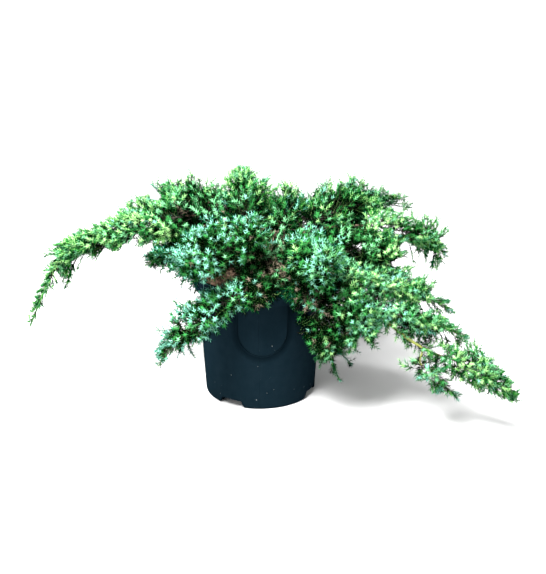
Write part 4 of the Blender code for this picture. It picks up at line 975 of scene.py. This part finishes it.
def make_wood(masses, materials):
    by_name = {mass.name: mass for mass in masses}
    limbs = {}
    waiting = list(BRANCHES)
    ready = ("stem", "stem_top", "left_arm_end")
    while waiting:
        branch = waiting.pop(0)
        if branch.parent not in ready and branch.parent not in limbs:
            waiting.append(branch)
            continue
        limbs[branch.name] = make_limb(branch, by_name[branch.name], limbs, by_name)
    all_points, all_faces, kinds, total = [], [], [], 0
    for number, (name, limb) in enumerate(limbs.items()):
        steps = max(12, int((limb.end - limb.start).length / 0.004))
        t = np.linspace(0, 1, steps)
        line = [limb.point(share) for share in t]
        radii = np.interp(t, (0, 1), limb.radii)
        points, faces = tube(line, radii, 10, 0.09, SEED + number)
        all_points.append(points)
        all_faces.append(faces + total)
        youth = YOUNG.get(name, (1.0, 1.0))[0]
        kinds.append(np.where(np.arange(len(faces)) > youth * len(faces), 1, 0))
        total += len(points)
    boughs = mesh_piece("boughs", np.concatenate(all_points), np.concatenate(all_faces),
                        materials, np.concatenate(kinds), smooth=True)
    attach(boughs, "root")
    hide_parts(*["bough_" + name for name in limbs])

    heights = np.linspace(0, 1, 40)
    line = [stem_point(share) for share in heights]
    radii = 0.0098 + 0.007 * np.exp(-heights * 9) - 0.002 * heights
    points, faces = tube(line, radii, 28, 0.07, SEED)
    top = stem_point(1.0)
    centre = len(points)
    points = np.concatenate([points, [tuple(top + Vector((0, 0, 0.001)))]])
    cap = [((39 * 28) + k, (39 * 28) + (k + 1) % 28, centre, centre) for k in range(28)]
    faces = [tuple(face) for face in faces] + [face[:3] for face in cap]
    mesh = bpy.data.meshes.new("trunk")
    mesh.from_pydata([tuple(point) for point in points], [], faces)
    mesh.shade_smooth()
    mesh.materials.append(materials[0])
    trunk = link(bpy.data.objects.new("trunk", mesh))
    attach(trunk, "root")
    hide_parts("stem")
    return limbs


def boolean(obj, other, operation="DIFFERENCE"):
    modifier = obj.modifiers.new(operation.lower(), "BOOLEAN")
    modifier.operation = operation
    modifier.solver = "EXACT"
    modifier.object = other


def turned(name, profile):
    mesh = bpy.data.meshes.new(name)
    points = [(radius, 0.0, height) for radius, height in profile]
    mesh.from_pydata(points, [(i, i + 1) for i in range(len(points) - 1)], [])
    obj = link(bpy.data.objects.new(name, mesh))
    screw = obj.modifiers.new("turn", "SCREW")
    screw.axis = "Z"
    screw.angle = math.tau
    screw.steps = TURN_STEPS
    screw.render_steps = TURN_STEPS
    screw.use_merge_vertices = True
    screw.merge_threshold = 0.00001
    return obj


def apply_modifiers(obj):
    graph = bpy.context.evaluated_depsgraph_get()
    graph.update()
    mesh = bpy.data.meshes.new_from_object(obj.evaluated_get(graph))
    obj.modifiers.clear()
    obj.data = mesh


def pot_profile(inset, floor):
    step_top = POT_HEIGHT - RIM_BAND + inset
    step_foot = step_top - 0.002
    top = POT_HEIGHT if inset == 0 else POT_HEIGHT + 0.01
    rim = RIM_RADIUS - inset
    points = [(0.0, top)]
    if inset == 0:
        for step in range(5):
            angle = math.radians(90 - 22.5 * step)
            points.append((rim - LIP_ROUND + LIP_ROUND * math.cos(angle),
                           top - LIP_ROUND + LIP_ROUND * math.sin(angle)))
    else:
        points += [(rim, top)]
    points += [(rim - RIM_TAPER, step_top), (wall_radius(step_foot) - inset + 0.001, step_foot)]
    corner = CORNER_RADIUS - inset
    centre_height = floor + corner
    centre_radius = wall_radius(centre_height) - inset - corner
    for step in range(7):
        angle = math.radians(15 * step)
        points.append((centre_radius + corner * math.cos(angle),
                       centre_height - corner * math.sin(angle)))
    points.append((0.0, floor))
    return points


def drain_block(name, bearing, grow):
    work = bmesh.new()
    bmesh.ops.create_cube(work, size=1.0)
    inner = BODY_BASE_RADIUS - DRAIN_REACH - grow
    outer = BODY_BASE_RADIUS + 0.03
    low = -0.02
    top = DRAIN_HEIGHT + grow
    flare = (DRAIN_FOOT_WIDTH - DRAIN_TOP_WIDTH) / 2 / DRAIN_HEIGHT
    for vert in work.verts:
        vert.co.x = outer if vert.co.x > 0 else inner
        vert.co.z = top if vert.co.z > 0 else low
        half = DRAIN_TOP_WIDTH / 2 + grow + flare * (top - vert.co.z)
        vert.co.y = half if vert.co.y > 0 else -half
    mesh = bpy.data.meshes.new(name)
    work.to_mesh(mesh)
    work.free()
    obj = link(bpy.data.objects.new(name, mesh))
    obj.rotation_euler.z = math.radians(bearing)
    return obj


def mesh_from_curve(curve_object, name):
    """A closed mesh object in place of a curve object."""
    graph = bpy.context.evaluated_depsgraph_get()
    graph.update()
    mesh = bpy.data.meshes.new_from_object(curve_object.evaluated_get(graph))
    work = bmesh.new()
    work.from_mesh(mesh)
    bmesh.ops.remove_doubles(work, verts=work.verts, dist=0.00001)
    bmesh.ops.recalc_face_normals(work, faces=work.faces)
    work.to_mesh(mesh)
    work.free()
    obj = link(bpy.data.objects.new(name, mesh))
    obj.matrix_world = curve_object.matrix_world.copy()
    bpy.data.objects.remove(curve_object, do_unlink=True)
    return obj


def panel_block(name, bearing):
    """The U outline of a panel, run outward through the wall."""
    curve = bpy.data.curves.new(name, "CURVE")
    curve.dimensions = "2D"
    curve.fill_mode = "BOTH"
    curve.extrude = 0.02
    half = PANEL_WIDTH / 2
    top = POT_HEIGHT - RIM_BAND - 0.004
    bend = PANEL_BOTTOM + half
    outline = [(-half, top)]
    for step in range(PANEL_STEPS + 1):
        angle = math.pi + math.pi * step / PANEL_STEPS
        outline.append((half * math.cos(angle), bend + half * math.sin(angle)))
    outline.append((half, top))
    spline = curve.splines.new("POLY")
    spline.points.add(len(outline) - 1)
    for point, (across, height) in zip(spline.points, outline):
        point.co = (across, height, 0.0, 1.0)
    spline.use_cyclic_u = True
    flat = link(bpy.data.objects.new(name + "_outline", curve))
    flat.rotation_euler = (math.pi / 2, 0.0, math.radians(bearing) + math.pi / 2)
    flat.location = polar(bearing, BODY_BASE_RADIUS + 0.008, 0.0)
    return mesh_from_curve(flat, name)


def make_pot(material):
    pot = turned("nursery_pot", pot_profile(0.0, 0.0))
    cutters = [turned("pot_hollow", pot_profile(WALL, FLOOR))]
    for index, bearing in enumerate(DRAIN_BEARINGS):
        cutters.append(drain_block(f"drain_wall_{index}", bearing, WALL))
        boolean(cutters[0], cutters[-1])
    boolean(pot, cutters[0])
    for index, bearing in enumerate(DRAIN_BEARINGS):
        cutters.append(drain_block(f"drain_{index}", bearing, 0.0))
        boolean(pot, cutters[-1])
    skin = [(0.0, POT_HEIGHT)]
    skin += [(wall_radius(height) - PANEL_DEPTH, height) for height in (POT_HEIGHT, -0.01)]
    skin += [(0.0, -0.01)]
    inside = turned("panel_floor", skin)
    cutters.append(inside)
    for index in range(PANEL_COUNT):
        panel = panel_block(f"panel_{index}", PANEL_BEARING + 360.0 * index / PANEL_COUNT)
        boolean(panel, inside)
        boolean(pot, panel)
        cutters.append(panel)
    apply_modifiers(pot)
    for cutter in cutters:
        bpy.data.objects.remove(cutter, do_unlink=True)
    pot.data.materials.clear()
    pot.data.materials.append(material)
    pot.data.shade_smooth()
    pot.data.set_sharp_from_angle(angle=math.radians(30))
    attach(pot, "root")
    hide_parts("pot")


def make_crumbs(material):
    """Grains of soil and dust that stick to the pot's wall."""
    rng = np.random.default_rng(SEED)
    bearings = np.concatenate([[bearing for bearing, height in CRUMBS],
                               rng.uniform(-180, 180, CRUMB_COUNT)])
    heights = np.concatenate([[height for bearing, height in CRUMBS],
                              0.018 + 0.17 * rng.uniform(0, 1, CRUMB_COUNT) ** 1.7])
    sizes = np.concatenate([np.full(len(CRUMBS), 0.0011), rng.uniform(0.0002, 0.0006, CRUMB_COUNT)])
    centre = np.array([polar(bearing, wall_radius(height), height)
                       for bearing, height in zip(bearings, heights)])
    heading = unit(rng.normal(0, 1, (len(centre), 3)))
    points, faces = prism_arrays(centre - heading * sizes[:, None], centre + heading * sizes[:, None],
                                 sizes, sizes * 0.6)
    crumbs = mesh_piece("pot_crumbs", points, faces, [material])
    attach(crumbs, "root")


def make_soil(earth, chip_materials, litter_materials):
    """The bark mix: a rough surface with chips of bark and fallen needles on it."""
    rings, spokes = 30, 96
    radius = RIM_RADIUS - RIM_TAPER - WALL - 0.0008
    rng = np.random.default_rng(SEED)
    points = [(0.0, 0.0, SOIL_TOP)]
    for ring in range(1, rings + 1):
        reach = radius * ring / rings
        for spoke in range(spokes):
            angle = math.tau * spoke / spokes
            height = SOIL_TOP - (SOIL_TOP - SOIL_EDGE) * ring / rings
            height += rng.uniform(-0.0012, 0.0012)
            points.append((reach * math.cos(angle), reach * math.sin(angle), height))
    faces = [(0, 1 + k, 1 + (k + 1) % spokes) for k in range(spokes)]
    for ring in range(rings - 1):
        low = 1 + ring * spokes
        for k in range(spokes):
            after = (k + 1) % spokes
            faces.append((low + k, low + spokes + k, low + spokes + after, low + after))
    mesh = bpy.data.meshes.new("soil_surface")
    mesh.from_pydata(points, [], faces)
    mesh.shade_smooth()
    mesh.materials.append(earth)
    soil = link(bpy.data.objects.new("soil_surface", mesh))
    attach(soil, "root")
    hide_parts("soil")

    count = 2600
    reach = (radius - 0.004) * np.sqrt(rng.uniform(0, 1, count))
    angle = rng.uniform(0, math.tau, count)
    centre = np.stack([reach * np.cos(angle), reach * np.sin(angle),
                       np.full(count, SOIL_TOP) - (SOIL_TOP - SOIL_EDGE) * reach / radius
                       + rng.uniform(0.0, 0.002, count)], axis=1)
    heading = rng.normal(0, 1, (count, 3))
    heading[:, 2] *= 0.3
    heading /= np.linalg.norm(heading, axis=1)[:, None]
    half = rng.uniform(0.001, 0.0055, count)
    block, sides = prism_arrays(centre - heading * half[:, None], centre + heading * half[:, None],
                                half * 0.5, half * 0.35)
    kinds = rng.integers(0, len(chip_materials), count)
    chips = mesh_piece("bark_chips", block, sides, chip_materials, np.tile(kinds, 6))
    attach(chips, "root")

    count = 3200
    reach = (radius - 0.006) * np.sqrt(rng.uniform(0, 1, count))
    angle = rng.uniform(0, math.tau, count)
    centre = np.stack([reach * np.cos(angle), reach * np.sin(angle),
                       np.full(count, SOIL_TOP + 0.0022)
                       - (SOIL_TOP - SOIL_EDGE) * reach / radius], axis=1)
    heading = rng.normal(0, 1, (count, 3))
    heading[:, 2] *= 0.15
    heading /= np.linalg.norm(heading, axis=1)[:, None]
    half = np.full(count, NEEDLE_LENGTH / 2)
    block, sides = prism_arrays(centre - heading * half[:, None], centre + heading * half[:, None],
                                np.full(count, 0.0005), np.full(count, 0.0002))
    kinds = rng.integers(0, len(litter_materials), count)
    litter = mesh_piece("needle_litter", block, sides, litter_materials, np.tile(kinds, 6))
    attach(litter, "root")


def make_stage():
    mesh = bpy.data.meshes.new("floor")
    corners = [(x * size, y * size, 0) for size in (FLOOR_NEAR, FLOOR_FAR)
               for x, y in ((-1, -1), (1, -1), (1, 1), (-1, 1))]
    frame_faces = [(k, (k + 1) % 4, (k + 1) % 4 + 4, k + 4) for k in range(4)]
    mesh.from_pydata(corners, [], [(0, 1, 2, 3)] + frame_faces)
    floor = link(bpy.data.objects.new("floor", mesh))
    mesh.materials.append(mixed_material("pale_floor", ((0.50, 0.50, 0.50), (0.53, 0.53, 0.53)),
                                         3.0, (0.8, 0.9), 0.0))
    mesh.materials.append(mixed_material("white_floor", ((0.88, 0.88, 0.88), (0.92, 0.92, 0.92)),
                                         3.0, (0.8, 0.9), 0.0))
    for polygon in mesh.polygons:
        polygon.material_index = min(polygon.index, 1)
    world = bpy.data.worlds.new("studio")
    world.use_nodes = True
    world.node_tree.nodes["Background"].inputs["Color"].default_value = (1.0, 1.0, 1.0, 1.0)
    world.node_tree.nodes["Background"].inputs["Strength"].default_value = 1.0
    bpy.context.scene.world = world
    bpy.context.scene.view_settings.view_transform = "Standard"
    for name, place, size, power in (("key", (-0.8, -1.3, 3.1), 1.7, 740.0),
                                     ("left", (-2.4, -1.8, 1.0), 1.6, 40.0)):
        light = bpy.data.lights.new(name, "AREA")
        light.size = size
        light.energy = power
        lamp = link(bpy.data.objects.new(name, light))
        lamp.location = place
        aim = Vector((0.0, 0.0, 0.2)) - Vector(place)
        lamp.rotation_euler = aim.to_track_quat("-Z", "Y").to_euler()


def make_camera():
    camera = bpy.data.cameras.new("photo_view")
    camera.sensor_width = SENSOR
    camera.sensor_fit = "AUTO"
    camera.lens = FOCAL_PIXELS / IMAGE_LONG_SIDE * SENSOR
    view = link(bpy.data.objects.new("photo_view", camera))
    back = Vector((0, -math.cos(CAMERA_ELEVATION), math.sin(CAMERA_ELEVATION)))
    view.location = AIM + back * CAMERA_DISTANCE
    view.rotation_euler = (-back).to_track_quat("-Z", "Y").to_euler()
    bpy.context.scene.camera = view


def main():
    make_camera()
    make_stage()
    masses = [Mass(branch) for branch in BRANCHES]
    needle_materials = []
    for name, upper, lower in NEEDLE_TINTS:
        for side, colour in (("upper", upper), ("lower", lower)):
            needle_materials.append(plain_material(f"needle_{name}_{side}", colour, 0.6,
                                                   specular=0.0))
    bark = mixed_material("juniper_bark", ((0.030, 0.017, 0.010), (0.11, 0.07, 0.04)),
                          260.0, (0.8, 0.95), 0.6)
    young = mixed_material("young_bark", ((0.075, 0.100, 0.008), (0.170, 0.180, 0.020)),
                           200.0, (0.55, 0.75), 0.3)
    twig = plain_material("twig_brown", (0.020, 0.013, 0.008), 0.8)
    green_twig = plain_material("twig_green", (0.06, 0.14, 0.025), 0.6)
    for index in range(len(masses)):
        dress_mass(masses, index, needle_materials, [twig, green_twig])
    limbs = make_wood(masses, [bark, young])
    dress_boughs(masses, limbs, needle_materials, [twig])
    plastic = mixed_material("black_plastic", ((0.0030, 0.0078, 0.0115), (0.0038, 0.0090, 0.0130)),
                             60.0, (0.42, 0.55), 0.05)
    mould_pot(plastic)
    plastic.node_tree.nodes["Principled BSDF"].inputs["Specular IOR Level"].default_value = 0.0
    make_pot(plastic)
    make_crumbs(plain_material("crumb", (0.10, 0.12, 0.12), 0.9))
    earth = mixed_material("bark_mix", ((0.018, 0.010, 0.006), (0.065, 0.038, 0.021)),
                           150.0, (0.85, 1.0), 0.8)
    chips = [plain_material(f"chip_{n}", colour, 0.9) for n, colour in enumerate(
        ((0.03, 0.016, 0.009), (0.07, 0.04, 0.023), (0.12, 0.08, 0.05)))]
    litter = [plain_material(f"litter_{n}", colour, 0.8) for n, colour in enumerate(
        ((0.15, 0.08, 0.04), (0.21, 0.14, 0.08), (0.09, 0.05, 0.03)))]
    make_soil(earth, chips, litter)


main()
